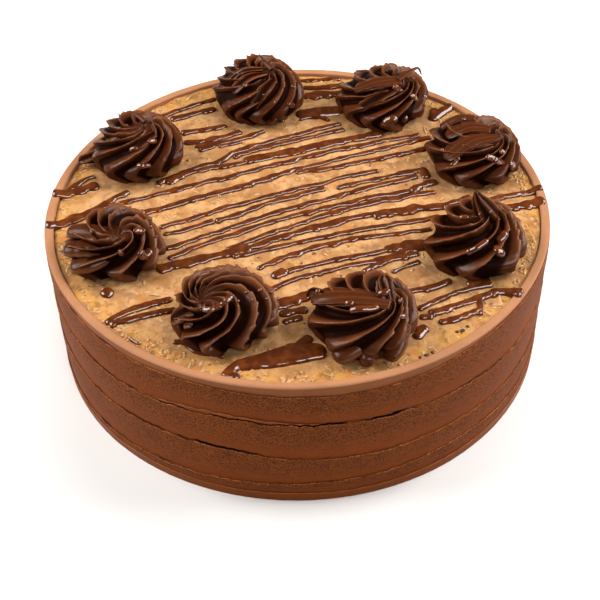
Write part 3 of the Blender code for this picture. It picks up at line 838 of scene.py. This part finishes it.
def rosette_part(row):
    """The half section gives radius and height by row, and the angle round the foot gives
    the column. A flute cuts in by sin(pi u)^p across its width u, skewed to one side and
    fading to the middle. The power p falls from 1.7 at the foot, where the crests are round,
    to 0.65, where they are thin lips. Every row is turned further than the one below it."""
    number, cx, cy, reach, coil, peak, lean_x, lean_y, turn, off_x, off_y = row
    flutes, twist, rough, share, sharp, tilt = SWIRLS[number]
    section = [(r * reach * MM, z * coil * MM) for r, z in COIL_SECTION]
    section += [(0.14 * reach * MM, (coil + 0.45 * (peak - coil)) * MM), (0.6 * MM, peak * MM)]
    line = smooth_line(section, ROSETTE_ROWS)
    slope = np.gradient(line, axis=0)
    slope /= np.linalg.norm(slope, axis=1)[:, None]
    out_r, out_z = slope[:, 1:2], -slope[:, 0:1]
    r, z = line[:, 0:1], line[:, 1:2]
    reach, coil = reach * MM, coil * MM
    columns = flutes * FLUTE_SAMPLES
    around = np.arange(columns)[None, :] / columns
    seed = 200 + 10 * number
    zero = np.zeros((ROSETTE_ROWS, columns))
    climb = np.linspace(0, 1, ROSETTE_ROWS)[:, None] + zero
    ring_x, ring_y = np.cos(math.tau * around) + zero, np.sin(math.tau * around) + zero
    warp = 0.035 * soft_noise(ring_x * 1.3, ring_y * 1.3, number + climb, seed)
    flute = (around + warp) * flutes
    which = np.floor(flute) % flutes
    upper = step_up(sharp, sharp + 0.42, z / coil) + zero
    trough = np.sin(np.pi * (flute % 1.0) ** FLUTE_SKEW) ** (1.7 - 1.05 * upper)
    crest = (1 - trough) ** 2 * (0.35 + 0.65 * upper)
    deep = share * FLUTE_DEPTH * (1 + 0.35 * soft_noise(which * 3.7, climb * 1.5, zero, seed + 1))
    deep = deep * (0.72 + 0.28 * upper)
    fade = np.minimum(1, r / (FLUTE_FADE * reach))
    ragged = rough * 0.5 * MM * rough_noise(which * 5.1, climb * 19, zero, seed + 2, 3) * crest
    torn = step_up(0.35, 0.6, soft_noise(which * 2.3, climb * 11, zero, seed + 3))
    notch = rough * 0.8 * MM * crest * torn
    cut = deep * fade * trough - ragged * fade + notch * fade
    smear = 0.3 * MM * rough_noise(ring_x * 6, ring_y * 6, climb * 9, seed + 4, 2)
    angle = math.tau * around + math.radians(twist) * (1 - r / reach) + math.radians(turn)
    angle = angle + WINDING * (z / coil) * (r / reach)
    angle = angle + 0.07 * crest * np.minimum(1, r / (0.3 * reach))
    swell = (0.022 * np.sin(2 * angle + number) + 0.015 * np.sin(3 * angle + 2 * number)
             + 0.03 * soft_noise(np.cos(angle) * 1.2, np.sin(angle) * 1.2, climb * 3, seed + 6))
    place_r = (r - out_r * (cut - smear)) * (1 + swell)
    place_z = z - out_z * (cut - smear) * step_up(0, 0.15 * coil, z)
    place_z = place_z * (1 + (0.04 * np.sin(angle + 3 * number) + tilt * np.sin(angle))
                         * np.minimum(1, r / reach))
    rise = np.maximum(0, place_z / coil - LEAN_START)
    inward = np.clip(0.95 - r / reach, 0, 1) ** 1.2
    px = cx * MM + place_r * np.cos(angle) + (rise * lean_x + inward * off_x) * MM
    py = cy * MM + place_r * np.sin(angle) + (rise * lean_y + inward * off_y) * MM
    rings = np.stack([px, py, place_z + ROSETTE_SEAT], -1)
    foot = (cx * MM, cy * MM, ROSETTE_SEAT)
    tip = rings[-1].mean(0) + (0, 0, 0.4 * MM)
    # the crests are marked for a lighter brown: partly thin icing's own colour, partly painted
    # highlight
    crests = with_poles(crest * fade)
    marking = max(share, 1.1)
    # the troughs are marked for painted shade in the finish
    trough_shades = with_poles(step_up(0.35 / marking, 1.0 / marking, trough) * fade)
    return wrapped_part(rings, foot, tip), crests, trough_shades


def pulled_part(crests, share, points, seed):
    """A rope of icing along a path: its section is an ellipse with crests, cut in between by
    sin(pi u)^0.75, that turns as it goes, frays a little and is rounded off at its end. The
    more crests there are the finer they are."""
    rows, columns = PULLED_ROWS, PULLED_SAMPLES * max(crests, 1)
    line = smooth_line(points, rows) * MM
    path, half = line[:, :3] + (0, 0, TOPPING_LEVEL), line[:, 3]
    ahead = np.gradient(path, axis=0)
    steps = np.linalg.norm(ahead, axis=1)
    ahead /= steps[:, None]
    side = np.cross(ahead, (0.0, 0.0, 1.0))
    side /= np.linalg.norm(side, axis=1)[:, None]
    lift = np.cross(side, ahead)
    left = steps.sum() - np.cumsum(steps)
    blunt = np.sqrt(1 - (1 - np.clip(left / (0.7 * half), 0, 1)) ** 2)
    u = np.arange(columns)[None, :] / columns
    zero = np.zeros((rows, columns))
    trough = np.sin(np.pi * ((u * crests) % 1.0)) ** 0.75 + zero if crests else zero
    crest = (1 - trough) ** 2
    go = np.linspace(0, 1, rows)[:, None]
    turn = math.tau * u + 0.9 * go
    which = np.floor(u * crests) * 3.3 + zero
    fray = (0.1 if crests else 0.03) * rough_noise(which, go * 9 + zero, zero + seed, 400, 2)
    cut, mark = next(row[1:] for row in PULLED_CUTS if crests < row[0])
    reach = half[:, None] * blunt[:, None] * (1 - cut * trough + fray * crest)
    rings = (path[:, None, :] + side[:, None, :] * (reach * np.cos(turn))[..., None]
             + lift[:, None, :] * (reach * share * np.sin(turn))[..., None])
    # a plain wisp is marked lighter at its sides, partly painted highlight
    if not crests:
        crest = zero + 0.75 * np.abs(np.cos(turn)) ** 6
    return capped_part(rings), with_poles(crest * mark), with_poles(step_up(0.35, 1.0, trough) * mark)


GANACHE = (0.066, 0.0160, 0.0040)
# crests: partly thin icing's own browner colour, partly painted highlight
GANACHE_CREST_AND_HIGHLIGHT = (0.205, 0.075, 0.032)
# painted shade in the troughs
GANACHE_TROUGH_SHADE = (0.005, 0.0006, 0.0002)


def ganache_finish():
    """Dark chocolate icing: satin, lighter brown on the crests, partly where the icing is drawn
    out thin and partly painted highlight, and black in the troughs as painted shade."""
    finish, shader, place = new_finish(
        "piped_dark_chocolate", Specular_IOR_Level=0.02, Coat_Roughness=0.25)
    broad = place.noise(7 * MM, 2.0)
    fine = place.noise(0.8 * MM, 3.0)
    trough_shade = marked(place, "trough").step(0.3, 1.0)
    # painted shade: black in the troughs
    colour = (trough_shade * 0.92).mix(GANACHE, GANACHE_TROUGH_SHADE)
    # lighter crests, partly painted highlight
    colour = (marked(place, "crest").step(0.2, 0.85) * 0.85).mix(colour, GANACHE_CREST_AND_HIGHLIGHT)
    plug(shader, Base_Color=colour, Roughness=0.4 + 0.2 * broad,
         Coat_Weight=(1 - trough_shade) * (0.1 + 0.35 * broad))
    plug(shader, Normal=bumped(fine, 0.08 * MM))
    return finish


ganache = ganache_finish()
rosette_corners = []
for row in ROSETTES:
    parts, crests, trough_shades = zip(rosette_part(row), *(
        pulled_part(crests, share, points, 7.7 * k)
        for k, (number, crests, share, points) in enumerate(PULLED_BITS) if number == row[0]))
    rosette = joined_skin(f"piped_rosette_{row[0]}", parts, {"crest": crests, "trough": trough_shades})
    rosette.data.materials.append(ganache)
    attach(rosette, "root")
    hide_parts(f"rosette_{row[0]}")
    rosette_corners.extend(part[0] for part in parts)

# The drizzle. Warm dark chocolate sauce flicked from side to side off a spoon. It sets as
# rounded beads that waver a little, run together in places and end in a drop.
# Strokes in mm: start x, y, end x, y, sideways bow, width
DRIZZLE = (
    # over the middle of the cake, from the back to the front
    (-71, 27, -41, 42.5, 1, 3), (-41, 42.5, -33, 51, 0, 2.6), (-33, 51, 24, 74, 1.5, 2.8),
    (-32, 47.5, 26, 69, 1.2, 2.4), (-62, 31, -20, 44, 1, 2.6), (-25, 43.5, 45, 64, 0.5, 4.8),
    (-90, 10, -30, 32, 0.5, 2.6), (-30, 32, 66, 62, 2.4, 2.6), (-77, 2.5, 0, 35, -1.4, 3.2),
    (0, 35, 72, 59, 0.5, 2.6), (1, 32, 71, 50, -0.8, 2.4), (-68, -10, 42, 32, 2, 2.6),
    (-66, -15, -43, -6, -1, 2.4), (-40, -6, 14, 18, 1.3, 2.6), (22, 18.5, 66, 31.5, 0.5, 2.8),
    (-64, -26.5, 62, 25.5, 3.2, 2.6), (-63, -33, 60, 14.5, 5.2, 2.6), (60, 14.5, 71, 21, 0, 4.2),
    (-34, -28.5, 70, 12.5, 5.2, 2.6), (-24, -28, 40, -4, 2.2, 3.6), (40, -5, 74, 1, 1, 4.2),
    (-67, -41, -25, -28.5, 0, 5.2), (-31, -34, 71, -7.5, 1.5, 2.6), (-19, -43, 30, -22.5, 2.2, 2.8),
    (30, -22.5, 66, -17, 0, 2.4), (-11, -48.5, -8, -47, 0, 5.4), (-5, -46.5, 48, -31.5, 1, 2.6),
    (45, -31.5, 62, -28, 0, 5.6), (-13, -58, 38, -40, 2, 2.4), (38, -40, 60, -31, 0, 3.2),
    (32, -47, 58, -36, 1.8, 2.8),
    # short strokes, drops and puddles by the rim and between the rosettes
    (53, -62.5, 72, -56.5, -1, 2.8), (56.5, -75, 91, -59.5, 1.5, 3), (62, -79, 92, -66, 0.5, 3.2),
    (92, -66, 104, -66.5, 1, 4.4), (66, -85, 84, -77.5, -1, 3.4), (54, -94.5, 57, -90.5, 0, 3.8),
    (-12, -70, 8, -62, 0, 5), (-90, -78, -62, -64, 1.5, 3.4), (-88, -80, -60, -71, 0, 3.4),
    (-124, 18, -104, 25, 0, 4.4), (-118, 22, -106, 33, 1, 2.8), (-125, -7, -97, 10, -1.5, 4.8),
    (-98, 11, -87, 19, 0, 2.8), (4, 117, 26, 118, 0, 2.6), (7, 109.5, 28, 111.5, -1, 2.8),
    (8, 102, 28, 103.5, 0, 4.8), (-74, 85, -44, 101, 0, 2.6), (-66, 83, -44, 91, 0, 3.2),
    (-60, 70, -38, 75, -0.5, 3), (-58, 61, -30, 69, -1.5, 3.2), (-52, 57.5, -17, 69, -1.5, 2.8),
    (98, 4.5, 125, 12, 0, 3.2), (103, -3.5, 123.5, 1.5, 0, 4.8),
    # thin or small ones
    (66, 31.5, 68, 26, 0, 3.5), (73, 1.5, 88, 7, 0, 3), (46, -49, 58, -41, 0, 2),
    (57, -81, 61, -81, 0, 3), (104, -66, 103, -69, 0, 4), (-8, -76, 2, -74, 0, 4),
    (-7, -82, 0, -80, 0, 3), (-79, -89, -75, -93, 0, 1.6), (-50, 55, -44, 57.5, 0, 3),
    (-40, 57, -29, 60, 0, 2), (-93, -59, -91, -57, 0, 4), (85.3, -70.3, 83.8, -80, 0, 2.6),
    (81.7, -58.5, 89.9, -58.3, 0, 4.2), (55, -90.5, 57.5, -89.5, 0, 4.4), (-66, 28, -60, 32, 0, 5),
    (-58, -93.5, -50, -97.5, 1, 2.2), (-53, -96, -42, -103, -1, 1.6),
    (-46, -98, -36, -104.5, 1, 1.8),
)
# Puddles: strokes that have run into one
PUDDLES = (
    ((-33, -114, -28, -109, 0, 4.6), (-28, -109, 2, -97, 0, 4.2), (-27, -111, 9, -105, -1, 3.8),
     (-24, -109, -10, -105, 0, 4), (-12, -104.5, -4, -102, 0, 6.5), (-4, -101.5, 6, -102, 0, 9),
     (0, -97, 3, -94, 0, 4.5), (-34, -115, -30, -117, 0, 4)),
    ((5, 85, 24, 87, 0, 6.6), (4, 79.5, 18, 78.5, 2, 2.2)),
    ((76, 78, 84, 86, 0, 5.2), (75.5, 77.5, 76.5, 84, 0, 4)),
)
STRAND_STEP = 0.65 * MM
PUDDLE_GRID = 0.35 * MM
PUDDLE_BLEND = 0.3 * MM
# How far from the cake's middle sauce may lie, how thick a wide stroke is, how much a stroke
# has spread, how deep its walls go down, and how steep a puddle's edge is
SAUCE_REACH = 126.6 * MM
SAUCE_THICK = 1.6 * MM
SAUCE_SPREAD = 1.28
SAUCE_SKIRT = 0.9 * MM
SAUCE_EDGE = 1.3


def surface_height(x, y):
    """The filling's level inside the rim, and over the rim a half ellipse."""
    away = np.hypot(x, y)
    over = np.clip((away - RIM_RADIUS) / (RIM_WIDTH / 2) + 1, -1, 1)
    rim = CAKE_HEIGHT - RIM_ROUNDING + RIM_ROUNDING * np.sqrt(1 - over**2)
    return np.where(away < TOPPING_RADIUS, filling_height(x, y), rim)


def stroke_sizes(row):
    """A stroke's start, its direction, length, bow, width and thickness, in metres."""
    x0, y0, x1, y1, bow, width = (value * MM for value in row)
    length = math.hypot(x1 - x0, y1 - y0)
    thick = SAUCE_THICK * min(1.25, 0.62 + 0.14 * width / MM)
    return x0, y0, (x1 - x0) / length, (y1 - y0) / length, length, bow, width, thick


def evened(values):
    """Each value's mean with the four before it and the four after it."""
    return np.convolve(np.pad(values, 4, "edge"), np.ones(9) / 9, "valid")


def strand_part(row, seed):
    """One stroke. Its line is straight plus a bow 4t(1 - t) and a slow waver, its section a
    half ellipse with walls down from both edges, and its ends are round. The half width
    swells by noise along it, and on the near side it drips."""
    x0, y0, ux, uy, length, bow, width, thick = stroke_sizes(row)
    bend = np.cos(np.linspace(0.12, math.pi / 2, 6))
    middle = np.linspace(0, length, max(2, round(length / STRAND_STEP)) + 1)[1:-1]
    along = np.concatenate([-bend * width / 2, middle, length + bend[::-1] * width / 2])
    t = np.clip(along / length, 0, 1)
    flat = np.zeros_like(along)
    waver = 0.45 * MM * rough_noise(along / (7.0 * MM), flat + seed, flat, 300, 2)
    swell = 1 + 0.27 * rough_noise(along / (5.0 * MM), flat + seed, flat + 4, 310, 2)
    drip = 0.3 * step_up(0.2, 0.8, soft_noise(along / (3.6 * MM), flat + seed, flat + 8, 320))
    over = np.abs(along - t * length) / (width / 2)
    blunt = np.sqrt(1 - np.clip(over, 0, 1) ** 2)
    offset = bow * 4 * t * (1 - t) + waver
    px, py = x0 + ux * along - uy * offset, y0 + uy * along + ux * offset
    level = evened(surface_height(px, py))
    turn = np.linspace(0, math.pi, 10)[None, :]
    section = np.concatenate([np.cos(turn), [[-1.04, 1.04]]], 1)
    rise = np.concatenate([np.sin(turn), [[0, 0]]], 1)
    down = np.concatenate([0 * turn, [[1, 1]]], 1)
    near = np.where(section < 0, drip[:, None], 0)
    reach = width / 2 * SAUCE_SPREAD * (swell[:, None] + near) * blunt[:, None]
    thick = thick * (0.8 + 0.2 * swell) * blunt
    qx = px[:, None] - uy * reach * section
    qy = py[:, None] + ux * reach * section
    shrink = np.minimum(1, SAUCE_REACH / np.hypot(qx, qy))
    qz = level[:, None] - 0.1 * MM + thick[:, None] * rise - SAUCE_SKIRT * down
    return capped_part(np.stack([qx * shrink, qy * shrink, qz], -1))


def stroke_height(row, x, y):
    """Thickness of one stroke of a puddle: T (1 - e^(-k s)) / (1 - e^-k) with
    s = 1 - (d/w)^2, d the distance from its line and w the half width."""
    x0, y0, ux, uy, length, bow, width, thick = stroke_sizes(row)
    along = (x - x0) * ux + (y - y0) * uy
    across = (y - y0) * ux - (x - x0) * uy
    t = np.clip(along / length, 0, 1)
    offset = across - bow * 4 * t * (1 - t)
    half = width / 2 * SAUCE_SPREAD
    share = np.maximum(1 - (np.hypot(offset, along - t * length) / half) ** 2, -0.6)
    return thick * (1 - np.exp(-SAUCE_EDGE * share)) / (1 - math.exp(-SAUCE_EDGE))


def puddle_part(rows):
    """The soft maximum of a puddle's strokes, with noise that frays its edge, as a top over
    the squares of a fine grid that it covers, the same squares lower down as its underside,
    and walls along their border."""
    ends = np.reshape([row[:4] for row in rows], (-1, 2)) * MM
    low, high = ends.min(0) - 8 * MM, ends.max(0) + 8 * MM
    x, y = np.meshgrid(*(np.arange(a, b, PUDDLE_GRID) for a, b in zip(low, high)))
    thick = np.full_like(x, -1 * MM)
    for row in rows:
        new = stroke_height(row, x, y)
        gap = np.clip(1 - np.abs(new - thick) / PUDDLE_BLEND, 0, 1)
        thick = np.maximum(new, thick) + PUDDLE_BLEND * gap**2 / 4
    thick = thick + 0.22 * MM * rough_noise(x / (4.5 * MM), y / (4.5 * MM), 0 * x, 330, 2)
    inside = np.hypot(x, y) < SAUCE_REACH
    level = surface_height(x, y)
    near = [(a, b) for a in range(-2, 3) for b in range(-2, 3)]
    for _ in range(3):
        level = sum(np.roll(level, step, (0, 1)) for step in near) / len(near)
    top = level + np.maximum(thick, -SAUCE_SKIRT)
    bottom = level - 1.2 * SAUCE_SKIRT
    square = [np.s_[:-1, :-1], np.s_[:-1, 1:], np.s_[1:, 1:], np.s_[1:, :-1]]
    wet = np.max([thick[s] for s in square], 0) > 0
    wet &= np.all([inside[s] for s in square], 0)
    index = np.arange(x.size).reshape(x.shape)
    quads = np.stack([index[s][wet] for s in square], -1)
    padded = np.pad(wet, 1)
    dry = ((padded[:-2, 1:-1], 0, 1), (padded[1:-1, 2:], 1, 2), (padded[2:, 1:-1], 2, 3),
           (padded[1:-1, :-2], 3, 0))
    walls = []
    for beside, a, b in dry:
        border = wet & ~beside
        first, second = index[square[a]][border], index[square[b]][border]
        walls.append(np.stack([second, first, first + x.size, second + x.size], -1))
    faces = np.concatenate([quads, quads[:, ::-1] + x.size, *walls])
    corners = np.concatenate([np.stack([x, y, top], -1).reshape(-1, 3),
                              np.stack([x, y, bottom], -1).reshape(-1, 3)])
    used, faces = np.unique(faces, return_inverse=True)
    return corners[used], faces.reshape(-1, 4), np.zeros((0, 3), int)


SAUCE = (0.074, 0.0150, 0.0020)
SAUCE_THIN = (0.140, 0.0310, 0.0035)


def sauce_finish():
    """Chocolate sauce: dark, redder where thin, with a wet skin."""
    finish, shader, place = new_finish(
        "chocolate_sauce", Specular_IOR_Level=0.05, Coat_Weight=1.0, Coat_Roughness=0.07,
        Coat_IOR=1.6)
    broad = place.noise(5 * MM, 2.0)
    colour = broad.step(0.4, 0.7).mix(SAUCE, SAUCE_THIN)
    plug(shader, Base_Color=colour, Roughness=0.40 + 0.2 * broad)
    plug(shader, Normal=bumped(place.noise(2.2 * MM, 1.0), 0.06 * MM))
    return finish


sauce = sauce_finish()
drizzle = joined_skin("drizzled_sauce", [
    *(strand_part(row, 7.3 * k) for k, row in enumerate(DRIZZLE)), *map(puddle_part, PUDDLES)])
drizzle.data.materials.append(sauce)
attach(drizzle, "root")

# Sauce on the rosettes. Where a stroke crossed a rosette it caught on the crests as drops
# and short runs. Each is named by where it shows: the point of the filling's level that it
# covers for someone at the viewpoint, so it sits on the icing in front of that point.
VIEWPOINT = np.array([-1.3, -608.9, 567.5]) * MM
# Lines in mm: width, then the points (x, y) that the run covers
ROSETTE_RUNS = (
    (3, (-104, -13.5), (-102, -9.5)), (3.6, (-82.5, -11.5), (-76, -12)),
    (4.6, (-78.5, -27), (-75.5, -31.5), (-73, -25.5)), (3, (-88.5, -26.5), (-85.5, -30.5)),
    (2.6, (-74.5, -2), (-73, -3)), (2.6, (-74.5, -8), (-73, -9)), (2.6, (-71, -15), (-70, -17)),
    (2.2, (-89, 7), (-86.5, 6)), (3, (-89.5, 55.5), (-86, 58), (-84, 57)),
    (3, (-79, 63.5), (-76.5, 64.5), (-73.5, 64)), (2.4, (-85, 43.5), (-81, 41.5), (-76, 42)),
    (2.6, (-12, 98), (-9.5, 97)), (3.4, (-3, 97.5), (-1, 93.5), (1, 96)),
    (3, (-14.5, 77), (-9.5, 80.5)), (2.4, (-7, 76), (-4.5, 80)), (2.4, (-29, 113.5), (-24.5, 115)),
    (2.4, (-2, 114), (1, 110.5)), (2.2, (-18, 105.5), (-15.5, 104)), (3.4, (56, 111), (60.5, 104)),
    (3.4, (64, 101), (69.5, 96)), (4.2, (46, 73), (52, 77.5), (56.5, 80)),
    (3.2, (58.5, 74.5), (62.5, 80)), (2.6, (72, 100), (74.5, 97.5)), (2.6, (72, 91.5), (74.5, 88)),
    (2.8, (-47.5, -69), (-44, -71.5), (-40, -71), (-36, -66.5), (-31, -60.5)),
    (2.6, (-26.5, -58.5), (-25, -61)), (2.6, (-20, -57.5), (-18.5, -60)),
    (2.4, (-23.5, -65), (-22, -65.5)), (2.4, (-17, -63.5), (-15.5, -65.5)),
    (2.2, (-30.5, -65.5), (-29, -66.5)), (4.2, (-55, -82.5), (-50.5, -81.5)),
    (2.4, (-14, -58.5), (-12, -61.5)), (2.6, (35.5, -62), (39.5, -63), (44, -60.5)),
    (3.2, (20, -71), (25.5, -70)), (2.6, (22.5, -76), (28, -75), (34.5, -74.5), (38, -72)),
    (3.4, (46.5, -68), (48, -70)), (2.8, (45.5, -79), (48, -80), (50.5, -78.5)),
    (2.6, (6.5, -59.5), (10, -60.5)), (2.6, (53, -75), (55, -76)),
    (2.6, (82, -37), (87.5, -31.5), (93, -28.5), (95, -25.5)),
    (4.6, (97, -28), (101, -24), (103, -19)), (6, (96.5, -36.5), (100.5, -34.5)),
    (2.4, (91.5, -6), (93, -7)), (2.4, (96.5, -4.5), (98, -5.5)), (2.2, (81, -9.5), (87, -7)),
    (2.2, (90.5, 75.5), (93.5, 77)), (2.6, (80, 35.5), (83.5, 37.5), (87.5, 41.5)),
    (2.2, (77, 49), (79, 50)), (3, (99.5, 42.5), (104, 40), (107, 36.5), (110, 37.5)),
    (4.4, (112, 36), (115, 32.5)), (3, (108, 46.5), (111.5, 44)), (2.2, (107.5, 56.5), (108.5, 55)),
)
BEAD_STEP = 0.5 * MM
BEAD_CORNERS = 12
BEAD_SWELL = 1.15
BEAD_HEIGHT = 0.6


def covered_plan(points):
    """Where each point shows on the filling's level, seen from the viewpoint, and how far off
    it is."""
    ray = points - VIEWPOINT
    share = (TOPPING_LEVEL - VIEWPOINT[2]) / ray[:, 2]
    return VIEWPOINT[:2] + ray[:, :2] * share[:, None], np.linalg.norm(ray, axis=1)


def bead_part(path, up, width, seed):
    """A bead along a path: a low ellipse across it that swells and sways by noise along its
    length, thins to its ends and stands out of the surface by under half of its height."""
    n = len(path)
    ahead = np.gradient(path, axis=0)
    steps = np.maximum(np.linalg.norm(ahead, axis=1), 0.01 * MM)
    gone = np.cumsum(steps) - steps[0]
    ahead /= steps[:, None]
    side = np.cross(ahead, up)
    side /= np.maximum(np.linalg.norm(side, axis=1), 1e-9)[:, None]
    lift = np.cross(side, ahead)
    zero = np.zeros(n)
    swell = 0.95 + 0.22 * soft_noise(gone / (3.6 * MM), zero + seed, zero + 4, 310)
    end = np.minimum(gone, gone[-1] - gone) / (width * 0.55) + 0.05
    swell = np.maximum(0.25, swell) * np.sqrt(1 - np.clip(1 - end, 0, 1) ** 2)
    half = (width / 2 * swell)[:, None, None]
    turn = np.linspace(0, math.tau, BEAD_CORNERS, endpoint=False)[None, :, None]
    rings = (path[:, None, :] + side[:, None, :] * half * np.cos(turn)
             + lift[:, None, :] * half * BEAD_HEIGHT * np.sin(turn))
    return capped_part(rings)


def rosette_run(row, seed):
    """A run on a rosette: at each step it lies on the nearest corner to the viewpoint among
    those that show within about a millimetre of the step. The steps are then evened out."""
    width, *points = row
    line = np.asarray(points, float) * MM
    length = np.linalg.norm(np.diff(line, axis=0), axis=1).sum()
    steps = smooth_line(line, max(6, round(length / BEAD_STEP) + 1))
    away = np.linalg.norm(steps[:, None, :] - shown[None, :, :], axis=2)
    found = np.argmin(np.where(away < 1.1 * MM, distance, 1 + away), axis=1)
    path = np.stack([evened(values) for values in all_corners[found].T], 1)
    view = VIEWPOINT - path
    up = view / np.linalg.norm(view, axis=1)[:, None] + (0, 0, 0.5)
    return bead_part(path + 0.03 * width * MM * up, up, BEAD_SWELL * width * MM, seed)


all_corners = np.concatenate(rosette_corners)
shown, distance = covered_plan(all_corners)
drops = joined_skin(
    "sauce_on_rosettes", [rosette_run(row, 3.1 * k) for k, row in enumerate(ROSETTE_RUNS)])
drops.data.materials.append(sauce)
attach(drops, "root")

# The surroundings. A wide pale floor, soft studio light from a few boxes over it, and the
# camera at the photograph's angle.
FLOOR_SIZE = 4.0
FLOOR_WHITE = (0.82, 0.82, 0.82, 1.0)
CAMERA_TILT = math.radians(42.10)
CAMERA_PAN = math.radians(0.16)
CAMERA_ROLL = math.radians(-1.49)
FOCAL_LENGTH = 92.44
SENSOR_WIDTH = 36.0
# Soft boxes: place, width, depth, power in watts, colour, whether matt and whether shiny
# surfaces show their light
SOFT_BOXES = (
    ((-0.85, 0.08, 0.72), 0.7, 0.7, 15.7, (1.0, 0.98, 0.95), True, True),
    ((0.85, 0.15, 0.72), 0.7, 0.7, 16.7, (1.0, 0.98, 0.95), True, True),
    ((0.12, 0.55, 1.15), 0.8, 0.4, 6.5, (1.0, 0.99, 0.97), True, False),
    ((0.15, -0.92, 0.95), 0.5, 0.3, 5.0, (1.0, 0.98, 0.95), True, False),
    ((0.62, -0.74, 0.98), 0.8, 0.5, 13.5, (1.0, 0.90, 0.84), False, True),
)
WORLD_LIGHT = 0.06
SOFT_BOX_AIM = Vector((0.0, 0.0, 0.06))

half = FLOOR_SIZE / 2
floor_mesh = bpy.data.meshes.new("floor")
floor_mesh.from_pydata(
    [(-half, -half, 0), (half, -half, 0), (half, half, 0), (-half, half, 0)], [], [(0, 1, 2, 3)])
floor = bpy.data.objects.new("floor", floor_mesh)
bpy.context.scene.collection.objects.link(floor)
floor.data.materials.append(new_finish("pale_floor", Base_Color=FLOOR_WHITE, Roughness=0.6)[0])

world = bpy.data.worlds.new("studio")
world.use_nodes = True
sky = world.node_tree.nodes["Background"]
seen = Wire(world.node_tree.nodes.new("ShaderNodeLightPath").outputs["Is Camera Ray"])
sky.inputs["Color"].default_value = (1.0, 1.0, 1.0, 1.0)
world.node_tree.links.new((WORLD_LIGHT + seen * (1 - WORLD_LIGHT)).socket, sky.inputs["Strength"])
bpy.context.scene.world = world

for number, (place, width, depth, power, colour, matt, shiny) in enumerate(SOFT_BOXES):
    light = bpy.data.lights.new(f"soft_box_{number}", "AREA")
    light.shape = "RECTANGLE"
    light.size = width
    light.size_y = depth
    light.energy = power
    light.color = colour
    lamp = bpy.data.objects.new(light.name, light)
    lamp.location = place
    lamp.rotation_euler = (SOFT_BOX_AIM - lamp.location).to_track_quat("-Z", "Y").to_euler()
    lamp.visible_diffuse = matt
    lamp.visible_glossy = shiny
    bpy.context.scene.collection.objects.link(lamp)

lens = bpy.data.cameras.new("camera")
lens.lens = FOCAL_LENGTH
lens.sensor_width = SENSOR_WIDTH
lens.clip_start = 0.01
camera = bpy.data.objects.new("camera", lens)
turn = (Matrix.Rotation(-CAMERA_PAN, 4, "Z") @ Matrix.Rotation(math.pi / 2 - CAMERA_TILT, 4, "X")
        @ Matrix.Rotation(CAMERA_ROLL, 4, "Z"))
camera.matrix_world = Matrix.Translation(VIEWPOINT.tolist()) @ turn
bpy.context.scene.collection.objects.link(camera)
bpy.context.scene.camera = camera
bpy.context.scene.view_settings.view_transform = "Standard"
bpy.context.scene.view_settings.look = "None"
